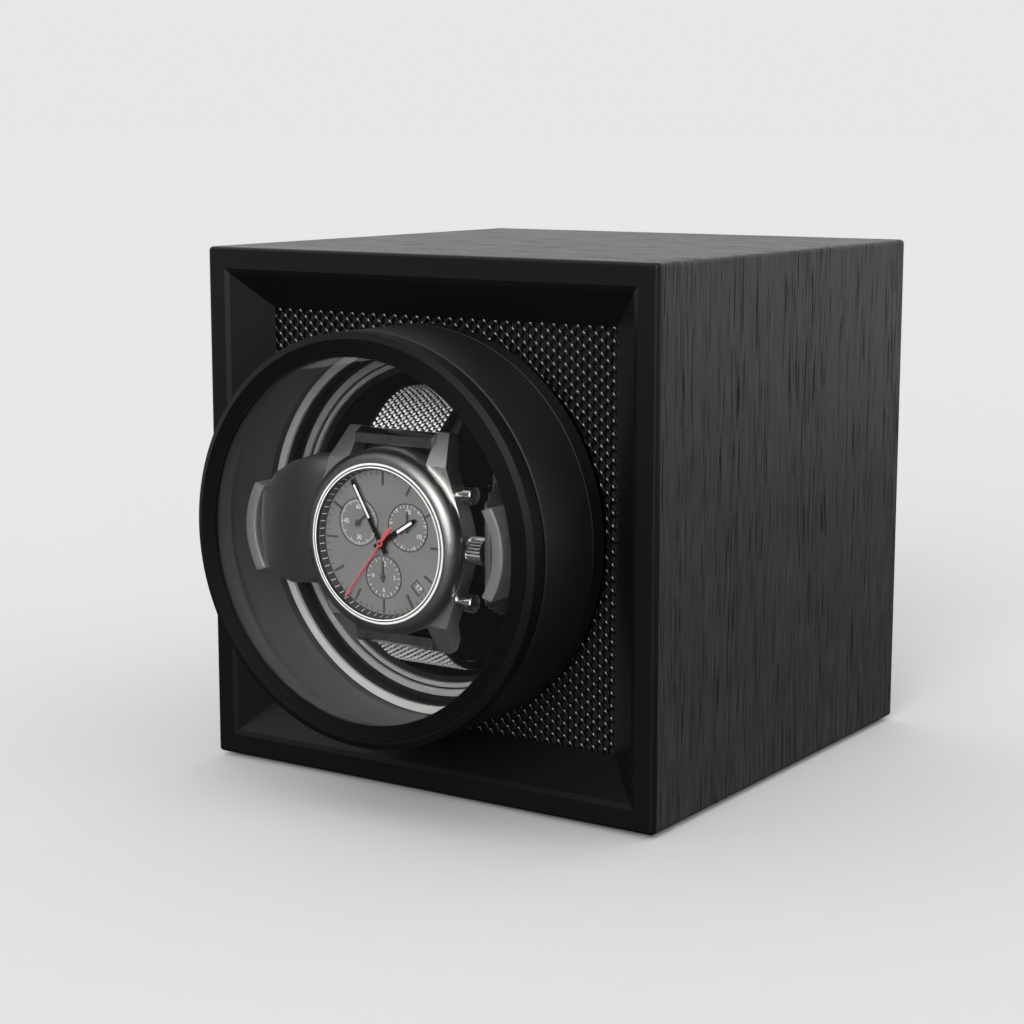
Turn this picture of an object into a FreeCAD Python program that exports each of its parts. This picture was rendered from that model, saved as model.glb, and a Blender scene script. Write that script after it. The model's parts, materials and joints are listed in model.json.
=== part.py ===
import FreeCAD, Part
import math
import os

# Single watch winder: a veneered cube with a bevelled front frame, a woven metal panel and a turning drum
# with a clear cover. The drum holds a cuff, and the cuff carries a chronograph with a mesh bracelet.
# Millimetres. The front faces -Y, Z is up, and the origin lies under the middle of the whole object.
# A depth "d" is measured from the front face of the case towards the back.

V = FreeCAD.Vector
TURN = 360.0
NEAR = 1e-6

# Drum and clear cover
drum_radius = 44.8
barrel_wall = 2.4
drum_projection = 22.8
cover_band = 4.4
cover_seam = 0.6
barrel_length = 17.9
rim_band = 4.7
seam_chamfer = 0.2
edge_chamfer = 0.3
lens_opening = 39.5
cover_lip = 1.0
lens_thickness = 2.0
spigot_length = 4.0
spigot_wall = 1.0
spigot_clearance = 0.2
face_chamfer = 1.4
groove_count = 7
groove_width = 0.36
groove_depth = 0.22
seal_thickness = 0.4
seal_inset = 0.6
glue_gap = 0.05
lens_glue = 0.1

# Stepped bottom of the drum and its three trim rings
step_wall = 1.7
outer_step_width = 2.1
middle_step_width = 3.1
inner_step_width = 2.5
outer_step_depth = 2.7
middle_step_depth = 4.0
inner_step_depth = 1.0
trim_thickness = 0.8
trim_edge = 0.15
outer_trim_width = 1.8
middle_trim_width = 1.5
inner_trim_width = 1.0
cup_floor_gap = 1.8

# Front frame, woven panel and boards
window_gap = 1.2
frame_slope = 8.6
frame_border = 5.4
frame_lip = 1.5
frame_depth = 7.2
slope_round = 0.5
edge_round = 1.0
board_thickness = 6.0
panel_fit = 0.1
mesh_thickness = 1.4
baffle_thickness = 4.0
cup_hole_gap = 1.0
foot_height = 1.0
foot_radius = 5.0
foot_inset = 14.0

# Spindle, bearing and gears
hub_radius = 8.0
hub_length = 4.0
hub_gap = 1.0
spindle_radius = 3.0
collar_radius = 4.6
collar_clearance = 0.7
running_fit = 0.04
end_float = 0.3
bush_wall = 2.0
bush_length = 4.5
bush_spacing = 3.0
bearing_wall = 3.0
bearing_flange = 5.0
bearing_flange_thickness = 3.0
chassis_thickness = 3.0
post_radius = 4.0
post_inset = 8.0
gear_module = 0.7
drum_gear_teeth = 72
pinion_teeth = 18
pressure_angle = 20.0
tooth_addendum = 0.9
tooth_dedendum = 1.25
gear_width = 5.0
pinion_overhang = 0.5
gear_hub_radius = 6.0
gear_hub_length = 1.7
backlash = 0.16

# Gear motor and its bracket
bracket_gap = 2.5
bracket_thickness = 2.0
bracket_margin = 4.0
pillar_radius = 3.0
motor_radius = 12.0
motor_length = 28.6
gearbox_length = 9.0
gearbox_step = 1.0
motor_shaft_radius = 1.5
motor_shaft_seat = 6.0
shaft_hole_radius = 8.0

# Rear panel, controls and batteries
board_gap = 4.0
circuit_thickness = 1.6
control_space = 12.0
rear_thickness = 3.0
rear_recess = 3.5
circuit_width = 64.0
circuit_height = 30.0
control_spacing = 22.0
control_height = 31.0
boss_radius = 2.5
switch_size = 14.0
switch_height = 9.0
switch_floor = 1.5
knob_radius = 7.0
knob_height = 2.6
knob_flutes = 24
knob_flute_depth = 0.35
pointer_width = 1.0
pointer_start = 2.3
knob_shaft_radius = 3.0
knob_gap = 0.4
button_radius = 4.5
button_stem_radius = 2.0
button_proud = 2.2
button_round = 1.0
button_travel = 1.5
control_clearance = 0.3
jack_size = 10.0
jack_bore_radius = 2.9
jack_pin_radius = 1.0
jack_depth = 9.0
jack_floor = 1.5
cell_radius = 7.25
cell_length = 50.5
cell_gap = 0.5
cell_nub_radius = 2.4
cell_nub_length = 1.0
box_wall = 1.5
battery_floor = 13.0
door_thickness = 2.0
door_setback = 0.2
door_clearance = 0.4
door_overlap = 0.6
door_pin_radius = 0.8
door_pin_length = 1.6
notch_radius = 14.5
notch_rise = 7.25
block_size = 10.0
block_length = 10.5
screw_radius = 1.5
screw_length = 9.0
screw_head_radius = 2.75
screw_head_height = 1.8
screw_recess_width = 0.8
screw_recess_length = 2.8
screw_recess_depth = 1.0
screw_clearance = 0.1

# Watch
watch_gap = 4.8
watch_drop = 1.2
watch_radius = 20.4
bezel_slope = 2.6
case_wall = 3.35
bore_fit = 0.05
crystal_proud = 0.2
crystal_thickness = 1.0
bezel_height = 3.2
bezel_side = 0.8
bezel_swell = 0.62
middle_height = 5.0
back_height = 2.3
back_wall = 1.1
back_rim = 0.8
back_flange = 1.5
dial_depth = 2.8
dial_thickness = 0.6
flange_width = 1.2
movement_height = 4.6
rotor_margin = 2.05
rotor_thickness = 1.0
rotor_gap = 0.3
rotor_pin_radius = 1.0
rotor_hub_radius = 3.0
marker_count = 12
marker_margin = 1.55
marker_length = 3.0
marker_width = 0.55
marker_height = 0.12
subdial_distance = 7.6
subdial_radius = 5.3
low_subdial_radius = 4.8
subdial_line = 0.22
seconds_place = 300.0
minutes_place = 60.0
hours_place = 180.0
date_margin = 4.25
date_width = 2.6
date_height = 2.0
date_place = 135.0
hand_thickness = 0.2
hand_step = 0.34
counter_level = 1
hour_level = 2
minute_level = 3
chrono_level = 4
hand_boss = 0.35
hand_tip = 0.5
hour_hand_length = 10.8
hour_hand_width = 1.2
hour_hand_tail = 2.2
hour_hand_angle = 57.5
minute_hand_margin = 1.85
minute_hand_width = 1.1
minute_hand_tail = 2.6
minute_hand_angle = 330.0
chrono_hand_margin = 1.15
chrono_hand_width = 0.4
chrono_hand_tail = 4.4
chrono_hand_angle = 217.0
subhand_length = 3.6
subhand_width = 0.45
subhand_tail = 1.1
seconds_hand_angle = 50.0
arbor_radii = (0.95, 0.65, 0.35)
sub_arbor_radius = 0.25
hand_fit = 0.05
crown_radius = 3.0
crown_length = 3.8
crown_gap = 0.6
crown_flutes = 24
crown_flute_depth = 0.3
stem_radius = 0.75
pusher_offset = 11.6
pusher_radius = 2.0
pusher_length = 2.2
pusher_stem_radius = 1.1
pusher_gap = 0.4
pusher_travel = 1.0
pusher_round = 0.5
stem_fit = 0.05
stem_depth = 1.6
strap_width = 20.0
strap_thickness = 1.6
lug_width = 3.0
lug_shoulder = 0.5
lug_gap = 0.3
lug_rise = 1.7
lug_drop = 1.3
bar_offset = 2.0
bar_depth = 9.6
link_length = 3.6
link_rise = 1.5
link_nose = 0.4
link_face = 0.6
link_gap = 0.1
strap_lead = 0.15

# Cuff that the bracelet closes round
cuff_wall_gap = 0.98
cuff_corner = 16.0
cuff_flat = 6.3
cuff_front_gap = 0.3
strap_gap = 0.4
saddle_width = 23.6
bar_top = 6.0
jaw_rest = 10.5
jaw_travel = 4.0
guide_radius = 2.0
jaw_roof = 1.7
guide_clearance = 2.0
guide_inset = 7.0
leaf_thickness = 0.6
leaf_width = 12.0
leaf_span = 13.0
cheek_thickness = 2.8
cheek_height = 20.0
cheek_front = 2.3
cheek_rear = 16.0
cheek_clearance = 0.3
rib_height = 16.0
wing_height = 20.0
wing_front = 3.0
wing_thickness = 7.0
bolster_height = 30.0
bolster_top_drop = 2.0
bolster_crest = 2.2
bolster_round = 4.0
bolster_watch_gap = 1.0
bolster_seat = 5.4
bolster_slope = 3.3
bolster_pocket_gap = 0.8

# Places in depth, front to back
cover_front = -drum_projection
cover_rear = cover_front + cover_band
lens_front = cover_front + cover_lip
lens_rear = lens_front + lens_thickness
barrel_front = cover_rear + cover_seam
barrel_rear = barrel_front + barrel_length
rim_rear = barrel_rear + rim_band
mesh_front = frame_depth
baffle_front = mesh_front + mesh_thickness
baffle_rear = baffle_front + baffle_thickness
outer_floor = barrel_rear + outer_step_depth
middle_floor = outer_floor + middle_step_depth
inner_floor = middle_floor + inner_step_depth
crystal_top = lens_rear + watch_gap
bezel_top = crystal_top + crystal_proud
bezel_base = bezel_top + bezel_height
middle_rear = bezel_base + middle_height
back_rear = middle_rear + back_height
crystal_base = crystal_top + crystal_thickness
dial_top = crystal_top + dial_depth
dial_base = dial_top + dial_thickness
movement_rear = dial_base + movement_height
stem_d = (bezel_base + middle_rear) / 2
bar_d = bezel_top + bar_depth
cuff_front = back_rear + cuff_front_gap
corner_inner = cuff_corner - strap_thickness - strap_gap
corner_front = cuff_front + corner_inner
corner_back = corner_front + cuff_flat
strap_rear = corner_back + cuff_corner
cup_floor = strap_rear + cup_floor_gap
cup_rear = cup_floor + step_wall
hub_rear = cup_rear + hub_length
chassis_front = hub_rear + hub_gap
chassis_rear = chassis_front + chassis_thickness
bearing_rear = chassis_rear + 2 * bush_length + bush_spacing
gear_hub_front = bearing_rear + end_float
gear_front = gear_hub_front + gear_hub_length
gear_rear = gear_front + gear_width
bracket_front = gear_rear + bracket_gap
motor_front = bracket_front + bracket_thickness
motor_rear = motor_front + motor_length
circuit_front = motor_rear + board_gap
circuit_rear = circuit_front + circuit_thickness
rear_front = circuit_rear + control_space
rear_face = rear_front + rear_thickness
case_depth = rear_face + rear_recess

# Widths and heights
barrel_inner = drum_radius - barrel_wall
step_outer = barrel_inner - outer_step_width
step_middle = step_outer - middle_step_width
cup_inner = step_middle - inner_step_width
cup_outer = cup_inner + step_wall
neck_radius = step_outer + step_wall
cup_hole = neck_radius + cup_hole_gap
window_half = drum_radius + window_gap
slope_half = window_half + frame_slope
case_half = slope_half + frame_border
inner_half = case_half - board_thickness
panel_half = inner_half - panel_fit
axis_z = foot_height + case_half
watch_z = axis_z - watch_drop
front_y = drum_projection - (drum_projection + case_depth) / 2
gear_distance = gear_module * (drum_gear_teeth + pinion_teeth) / 2
motor_z = axis_z + gear_distance
strap_half = strap_width / 2
lug_inner = strap_half + lug_gap
pusher_wall = math.sqrt(watch_radius ** 2 - pusher_offset ** 2)
bezel_top_radius = watch_radius - bezel_slope
bore_radius = watch_radius - case_wall
rotor_radius = bore_radius - rotor_margin
marker_outer = bore_radius - marker_margin
marker_inner = marker_outer - marker_length
date_distance = bore_radius - date_margin
minute_hand_length = bore_radius - minute_hand_margin
chrono_hand_length = bore_radius - chrono_hand_margin
bar_height = watch_radius + bar_offset
lug_tip_x = lug_inner + lug_width
lug_tip_z = bar_height + lug_rise
lug_reach = math.hypot(lug_tip_x, lug_tip_z)
tangent_angle = math.atan2(lug_tip_z, lug_tip_x) - math.acos(watch_radius / lug_reach)
tangent_x = watch_radius * math.cos(tangent_angle)
tangent_z = watch_radius * math.sin(tangent_angle)
flank_slope = (tangent_x - lug_tip_x) / (lug_tip_z - tangent_z)
pusher_flank = tangent_x - flank_slope * (pusher_offset - pusher_radius - tangent_z)
pusher_cap = pusher_flank + pusher_travel + pusher_gap
pusher_end = pusher_cap + pusher_length
crown_end = watch_radius + crown_gap + crown_length
cheek_outer = cup_inner - cheek_clearance
cheek_inner = cheek_outer - cheek_thickness
core_radius = cheek_inner - glue_gap
cuff_half = math.sqrt((cup_inner - cuff_wall_gap) ** 2 - strap_half ** 2) - watch_drop


def at(x, d, z):
    return V(x, front_y + d, z)


def block(x0, x1, d0, d1, z0, z1):
    return Part.makeBox(x1 - x0, d1 - d0, z1 - z0, at(x0, d0, z0))


def square(half, d0, d1):
    return block(-half, half, d0, d1, axis_z - half, axis_z + half)


def frustum(half0, d0, half1, d1):
    """Square funnel about the drum's axis."""
    wires = []
    for half, d in ((half0, d0), (half1, d1)):
        signs = ((-1, -1), (1, -1), (1, 1), (-1, 1))
        points = [at(half * sx, d, axis_z + half * sz) for sx, sz in signs]
        wires.append(Part.makePolygon(points + points[:1]))
    return Part.makeLoft(wires, True, True)


def disc(radius, d0, d1, x=0.0, z=axis_z):
    return Part.makeCylinder(radius, d1 - d0, at(x, d0, z), V(0, 1, 0))


def ring(outer, inner, d0, d1, x=0.0, z=axis_z):
    return disc(outer, d0, d1, x, z).cut(disc(inner, d0, d1, x, z))


def rod_x(radius, x0, x1, d, z):
    return Part.makeCylinder(radius, x1 - x0, at(x0, d, z), V(1, 0, 0))


def rod_z(radius, x, d, z0, z1):
    return Part.makeCylinder(radius, z1 - z0, at(x, d, z0), V(0, 0, 1))


def turned(profile, x=0.0, z=axis_z):
    """Solid of revolution about the depth axis through (x, z), from (radius, depth) points."""
    points = [at(x + radius, d, z) for radius, d in profile]
    face = Part.Face(Part.makePolygon(points + points[:1]))
    return face.revolve(at(x, 0, z), V(0, 1, 0), TURN)


def plate(outline, d0, d1, x=0.0, z=axis_z):
    """Flat plate across the depth axis, from (x, z) points about (x, z)."""
    points = [at(x + px, d0, z + pz) for px, pz in outline]
    return Part.Face(Part.makePolygon(points + points[:1])).extrude(V(0, d1 - d0, 0))


def slab_x(outline, x0, x1, z=axis_z):
    """Solid along X, from (depth, height) points about the height z."""
    points = [at(x0, d, z + pz) for d, pz in outline]
    return Part.Face(Part.makePolygon(points + points[:1])).extrude(V(x1 - x0, 0, 0))


def turn_about_depth(shape, degrees, x=0.0, z=axis_z):
    """Copy turned clockwise as seen from the front."""
    copy = shape.copy()
    copy.rotate(at(x, 0, z), V(0, 1, 0), degrees)
    return copy


def edges_where(shape, test):
    return [edge for edge in shape.Edges if all(test(vertex.Point) for vertex in edge.Vertexes)]


def along_depth(edge):
    first, last = edge.Vertexes[0].Point, edge.Vertexes[-1].Point
    return abs(first.x - last.x) < NEAR and abs(first.z - last.z) < NEAR


def joined(first, *others):
    return first.multiFuse(list(others)).removeSplitter()


def save(name, *solids):
    shape = solids[0] if len(solids) == 1 else Part.makeCompound(list(solids))
    shape.exportStep("parts/" + name + ".step")


def corners(half):
    return [(x, z) for x in (-half, half) for z in (axis_z - half, axis_z + half)]


def fluted(radius, flutes, relief):
    """Outline of a round knob with shallow flutes."""
    outline = []
    for index in range(2 * flutes):
        angle = math.pi * index / flutes
        reach = radius - relief * (index % 2)
        outline.append((reach * math.cos(angle), reach * math.sin(angle)))
    return outline


# Case

def make_boards():
    outer = square(case_half, frame_lip, case_depth)
    rear_y = front_y + case_depth
    round_edges = [edge for edge in outer.Edges if along_depth(edge)]
    round_edges += edges_where(outer, lambda point: abs(point.y - rear_y) < NEAR)
    shell = outer.makeFillet(edge_round, round_edges).cut(square(inner_half, frame_lip, case_depth))
    reach = 2 * case_half
    sides = {"top_panel": 0, "right_panel": 90, "bottom_panel": 180, "left_panel": 270}
    for name, degrees in sides.items():
        wedge = plate([(0, 0), (reach, reach), (-reach, reach)], frame_lip, case_depth)
        save(name, shell.common(turn_about_depth(wedge, degrees)))


def make_front_frame():
    lip = square(case_half, 0, frame_lip)
    round_edges = [edge for edge in lip.Edges if along_depth(edge)]
    round_edges += edges_where(lip, lambda point: abs(point.y - front_y) < NEAR)
    lip = lip.makeFillet(edge_round, round_edges)
    shallow = slope_round * frame_slope / frame_depth
    frame = joined(lip, square(panel_half, frame_lip, frame_depth))
    frame = frame.cut(frustum(slope_half, 0, window_half, frame_depth))
    # The edge between the flat border and the slope is broken.
    save("front_frame", frame.cut(frustum(slope_half + slope_round, 0, slope_half - shallow, slope_round)))


def make_front_panel():
    hole = disc(cup_hole, mesh_front, baffle_rear)
    save("mesh_panel", square(panel_half, mesh_front, baffle_front).cut(hole))
    save("front_baffle", square(panel_half, baffle_front, baffle_rear).cut(hole))


def make_feet():
    reach = case_half - foot_inset
    feet = []
    for x in (-reach, reach):
        for d in (foot_inset, case_depth - foot_inset):
            feet.append(rod_z(foot_radius, x, d, 0, foot_height))
    save("rubber_feet", *feet)


def screw(x, z, d):
    """Pan head screw with a cross recess, driven towards the front, its head seated at depth d."""
    top = d + screw_head_height
    shank = disc(screw_radius, d - screw_length, d, x, z)
    body = joined(shank, disc(screw_head_radius, d, top, x, z))
    wide = screw_recess_length / 2
    narrow = screw_recess_width / 2
    for half_x, half_z in ((wide, narrow), (narrow, wide)):
        body = body.cut(block(x - half_x, x + half_x, top - screw_recess_depth, top, z - half_z, z + half_z))
    return body


def screw_hole(x, z, d):
    return disc(screw_radius + screw_clearance, d - screw_length - screw_clearance, d, x, z)


# Spindle drive

def make_chassis():
    post_half = panel_half - post_inset
    plate_body = square(panel_half, chassis_front, chassis_rear)
    plate_body = plate_body.cut(disc(collar_radius + collar_clearance, chassis_front, chassis_rear))
    posts = []
    for x, z in corners(post_half):
        hole = screw_hole(x, z, chassis_rear)
        posts.append(disc(post_radius, baffle_rear, chassis_front, x, z).cut(hole))
        plate_body = plate_body.cut(hole)
    save("chassis_posts", *posts)
    save("chassis_plate", plate_body)


def make_bearing():
    bush_outer = spindle_radius + bush_wall
    housing_outer = bush_outer + bearing_wall
    flange_rear = chassis_rear + bearing_flange_thickness
    flange = ring(housing_outer + bearing_flange, bush_outer, chassis_rear, flange_rear)
    tube = ring(housing_outer, bush_outer, chassis_rear, bearing_rear)
    save("bearing_housing", joined(flange, tube))
    bushes = []
    for d in (chassis_rear, bearing_rear - bush_length):
        bushes.append(ring(bush_outer, spindle_radius + running_fit, d, d + bush_length))
    save("spindle_bushes", *bushes)


def gear_outline(teeth, phase):
    """Involute spur gear outline, with a tooth centred on the phase angle."""
    pressure = math.radians(pressure_angle)
    flank_steps = 5
    pitch = gear_module * teeth / 2
    base = pitch * math.cos(pressure)
    tip = pitch + tooth_addendum * gear_module
    root = pitch - tooth_dedendum * gear_module
    half_tooth = (math.pi * gear_module - backlash) / (4 * pitch)

    def involute(angle):
        return math.tan(angle) - angle

    start = max(base, root)
    flank = []
    for step in range(flank_steps + 1):
        radius = start + (tip - start) * step / flank_steps
        angle = half_tooth + involute(pressure) - involute(math.acos(min(1.0, base / radius)))
        flank.append((radius, angle))
    if root < start:
        flank.insert(0, (root, flank[0][1]))
    outline = []
    for tooth in range(teeth):
        middle = phase + 2 * math.pi * tooth / teeth
        outline += [(radius, middle - angle) for radius, angle in flank]
        outline += [(radius, middle + angle) for radius, angle in reversed(flank)]
    return [(radius * math.cos(angle), radius * math.sin(angle)) for radius, angle in outline]


def make_gears():
    up = math.pi / 2
    wheel = plate(gear_outline(drum_gear_teeth, up), gear_front, gear_rear)
    wheel = joined(wheel, disc(gear_hub_radius, gear_hub_front, gear_front))
    save("drum_gear", wheel.cut(disc(spindle_radius, gear_hub_front, gear_rear)))
    pinion_front = gear_front - pinion_overhang
    pinion_rear = gear_rear + pinion_overhang
    half_pitch = math.pi / pinion_teeth
    pinion = plate(gear_outline(pinion_teeth, half_pitch - up), pinion_front, pinion_rear, z=motor_z)
    shaft = disc(motor_shaft_radius, pinion_front, motor_front + motor_shaft_seat, z=motor_z)
    save("motor_pinion", joined(pinion, shaft))


def make_spindle():
    rod = disc(spindle_radius, cup_floor, gear_rear)
    collar = disc(collar_radius, hub_rear, chassis_rear - end_float)
    save("drum_spindle", joined(rod, collar))


def make_motor():
    half_width = motor_radius + bracket_margin + pillar_radius
    half_height = motor_radius + bracket_margin / 2
    pillar_x = motor_radius + bracket_margin
    bracket = block(-half_width, half_width, bracket_front, motor_front,
                    motor_z - half_height, motor_z + half_height)
    bracket = bracket.cut(disc(shaft_hole_radius, bracket_front, motor_front, z=motor_z))
    pillars = [disc(pillar_radius, chassis_rear, bracket_front, x, motor_z) for x in (-pillar_x, pillar_x)]
    bracket = joined(bracket, *pillars)
    for x in (-pillar_x, pillar_x):
        bracket = bracket.cut(screw_hole(x, motor_z, motor_front))
    save("motor_bracket", bracket)
    gearbox_rear = motor_front + gearbox_length
    body = turned([
        (motor_shaft_radius + running_fit, motor_front),
        (motor_radius, motor_front),
        (motor_radius, gearbox_rear),
        (motor_radius - gearbox_step, gearbox_rear),
        (motor_radius - gearbox_step, motor_rear),
        (0, motor_rear),
        (0, motor_front + motor_shaft_seat + end_float),
        (motor_shaft_radius + running_fit, motor_front + motor_shaft_seat + end_float),
    ], z=motor_z)
    save("gear_motor", body)


# Rear panel, controls and batteries

def make_rear():
    post_half = panel_half - post_inset
    pillar_x = motor_radius + bracket_margin
    control_z = axis_z + control_height
    block_half = inner_half - block_size / 2 - glue_gap
    screws = [screw(x, z, rear_face) for x, z in corners(block_half)]
    screws += [screw(x, z, chassis_rear) for x, z in corners(post_half)]
    screws += [screw(x, motor_z, motor_front) for x in (-pillar_x, pillar_x)]
    save("case_screws", *screws)

    blocks = []
    half = block_size / 2
    for x, z in corners(block_half):
        body = block(x - half, x + half, rear_front - block_length, rear_front, z - half, z + half)
        blocks.append(body.cut(screw_hole(x, z, rear_face)))
    save("corner_blocks", *blocks)

    # Batteries lie two by two across the case, in an open tray behind the door.
    pitch = 2 * cell_radius + cell_gap
    tray_x = cell_length / 2 + cell_gap
    tray_height = 2 * pitch + cell_gap
    tray_front = rear_front - tray_height - box_wall
    tray_z = foot_height + battery_floor
    tray_top = tray_z + tray_height
    wall_x = tray_x + box_wall
    tray = block(-wall_x, wall_x, tray_front, rear_front, tray_z - box_wall, tray_top + box_wall)
    tray = tray.cut(block(-tray_x, tray_x, tray_front + box_wall, rear_front, tray_z, tray_top))
    save("battery_box", tray)
    cells = []
    for row in range(2):
        for column in range(2):
            d = rear_front - cell_gap - cell_radius - column * pitch
            z = tray_z + cell_gap + cell_radius + row * pitch
            nub_x = cell_length / 2 - cell_nub_length
            nub = rod_x(cell_nub_radius, nub_x, cell_length / 2, d, z)
            cells.append(joined(rod_x(cell_radius, -cell_length / 2, nub_x, d, z), nub))
    save("battery_cells", *cells)

    # The door turns on two pins along its rounded lower edge.
    door_rear = rear_face - door_setback
    door_front = door_rear - door_thickness
    hinge_d = (door_front + door_rear) / 2
    door_x = tray_x - door_overlap
    door_z = tray_z + door_overlap
    hinge_z = door_z + door_thickness / 2
    door_top = tray_top - door_overlap
    door = block(-door_x, door_x, door_front, door_rear, hinge_z, door_top)
    barrel = rod_x(door_thickness / 2, -door_x, door_x, hinge_d, hinge_z)
    pins = rod_x(door_pin_radius, -door_x - door_pin_length, door_x + door_pin_length, hinge_d, hinge_z)
    door = joined(door, barrel, pins)
    notch = disc(notch_radius, hinge_d, door_rear, z=door_top + notch_rise)
    save("battery_door", door.cut(notch))

    panel = square(panel_half, rear_front, rear_face)
    gap = door_clearance
    panel = panel.cut(block(-door_x - gap, door_x + gap, rear_front, rear_face, door_z - gap, door_top + gap))
    reach = door_x + door_pin_length + gap
    panel = panel.cut(rod_x(door_pin_radius + running_fit, -reach, reach, hinge_d, hinge_z))
    control_holes = (
        (knob_shaft_radius + control_clearance, -control_spacing),
        (button_radius + control_clearance, control_spacing),
        (jack_bore_radius, 0),
    )
    for radius, x in control_holes:
        panel = panel.cut(disc(radius, rear_front, rear_face, x, control_z))
    boss_x = circuit_width / 2 - boss_radius
    boss_z = circuit_height / 2 - boss_radius
    bosses = []
    for x in (-boss_x, boss_x):
        for z in (control_z - boss_z, control_z + boss_z):
            bosses.append(disc(boss_radius, circuit_rear, rear_front, x, z))
    panel = joined(panel, *bosses)
    for x, z in corners(block_half):
        panel = panel.cut(screw_hole(x, z, rear_face))
    save("rear_panel", panel)

    save("control_board", block(-circuit_width / 2, circuit_width / 2, circuit_front, circuit_rear,
                                control_z - circuit_height / 2, control_z + circuit_height / 2))

    half = switch_size / 2
    switch_rear = circuit_rear + switch_height
    switches = []
    for x, radius in ((-control_spacing, knob_shaft_radius), (control_spacing, button_stem_radius)):
        body = block(x - half, x + half, circuit_rear, switch_rear, control_z - half, control_z + half)
        bore = disc(radius + running_fit, circuit_rear + switch_floor, switch_rear, x, control_z)
        switches.append(body.cut(bore))
    save("board_switches", *switches)

    socket_front = rear_front - jack_depth
    half = jack_size / 2
    socket = block(-half, half, socket_front, rear_front, control_z - half, control_z + half)
    socket = socket.cut(disc(jack_bore_radius, socket_front + jack_floor, rear_front, 0, control_z))
    contact = disc(jack_pin_radius, socket_front, rear_front, 0, control_z)
    save("dc_jack", joined(socket, contact))

    knob_front = rear_face + knob_gap
    knob_rear = knob_front + knob_height
    rim = fluted(knob_radius, knob_flutes, knob_flute_depth)
    knob = plate(rim, knob_front, knob_rear, -control_spacing, control_z)
    shaft_front = circuit_rear + switch_floor + control_clearance
    knob = joined(knob, disc(knob_shaft_radius, shaft_front, knob_front, -control_spacing, control_z))
    half = pointer_width / 2
    pointer = block(-control_spacing - half, -control_spacing + half, knob_front + knob_height / 2, knob_rear,
                    control_z + pointer_start, control_z + knob_radius)
    save("mode_knob", knob.cut(pointer))

    stem_front = circuit_rear + switch_floor + button_travel + control_clearance
    cap_front = switch_rear + button_travel + control_clearance
    cap = disc(button_radius, cap_front, rear_face + button_proud, control_spacing, control_z)
    rim = edges_where(cap, lambda point: point.y > front_y + rear_face + button_proud - NEAR)
    cap = cap.makeFillet(button_round, rim)
    stem = disc(button_stem_radius, stem_front, cap_front, control_spacing, control_z)
    save("power_button", joined(cap, stem))


# Drum and cover

def make_drum():
    save("drum_barrel", turned([
        (barrel_inner, barrel_front),
        (drum_radius - edge_chamfer, barrel_front),
        (drum_radius, barrel_front + edge_chamfer),
        (drum_radius, barrel_rear - seam_chamfer),
        (drum_radius - seam_chamfer, barrel_rear),
        (barrel_inner, barrel_rear),
    ]))
    cup = turned([
        (drum_radius - seam_chamfer, barrel_rear),
        (drum_radius, barrel_rear + seam_chamfer),
        (drum_radius, rim_rear - edge_chamfer),
        (drum_radius - edge_chamfer, rim_rear),
        (neck_radius, rim_rear),
        (neck_radius, middle_floor + step_wall),
        (step_middle + step_wall, middle_floor + step_wall),
        (step_middle + step_wall, inner_floor + step_wall),
        (cup_outer, inner_floor + step_wall),
        (cup_outer, cup_rear),
        (hub_radius, cup_rear),
        (hub_radius, hub_rear),
        (spindle_radius, hub_rear),
        (spindle_radius, cup_floor),
        (cup_inner, cup_floor),
        (cup_inner, inner_floor),
        (step_middle, inner_floor),
        (step_middle, middle_floor),
        (step_outer, middle_floor),
        (step_outer, outer_floor),
        (barrel_inner, outer_floor),
        (barrel_inner, barrel_rear),
    ])
    # Two ribs on the wall of the cup stop the cuff's cheeks.
    rib_front = cheek_rear + cheek_clearance
    rib_stock = ring(cup_inner + step_wall / 2, cheek_inner, rib_front, cup_floor + step_wall / 2)
    half = rib_height / 2
    band = block(-drum_radius, drum_radius, rib_front, cup_rear, axis_z - half, axis_z + half)
    save("drum_cup", joined(cup, rib_stock.common(band)))

    rings = []
    for outer, width, floor in (
        (barrel_inner - trim_edge, outer_trim_width, outer_floor),
        (step_outer - (middle_step_width - middle_trim_width) + trim_edge, middle_trim_width, middle_floor),
        (step_middle - trim_edge, inner_trim_width, inner_floor),
    ):
        rings.append(ring(outer, outer - width, floor - trim_thickness, floor))
    save("drum_trim_rings", *rings)


def make_cover():
    spigot_outer = barrel_inner - spigot_clearance
    spigot_inner = spigot_outer - spigot_wall
    face_edge = drum_radius - face_chamfer
    profile = [(lens_opening, cover_front)]
    pitch = (face_edge - lens_opening) / (groove_count + 1)
    for index in range(groove_count):
        middle = lens_opening + pitch * (index + 1)
        profile.append((middle - groove_width / 2, cover_front))
        profile.append((middle, cover_front + groove_depth))
        profile.append((middle + groove_width / 2, cover_front))
    profile += [
        (face_edge, cover_front),
        (drum_radius, cover_front + face_chamfer / 2),
        (drum_radius, cover_rear - edge_chamfer),
        (drum_radius - edge_chamfer, cover_rear),
        (spigot_outer, cover_rear),
        (spigot_outer, cover_rear + spigot_length),
        (spigot_inner, cover_rear + spigot_length),
        (spigot_inner, lens_front),
        (lens_opening, lens_front),
    ]
    save("cover_ring", turned(profile))
    save("cover_lens", disc(spigot_inner - lens_glue, lens_front, lens_rear))
    seal_outer = drum_radius - seal_inset
    save("cover_seal", ring(seal_outer, spigot_outer + glue_gap, cover_rear, cover_rear + seal_thickness))


# Cuff

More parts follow.
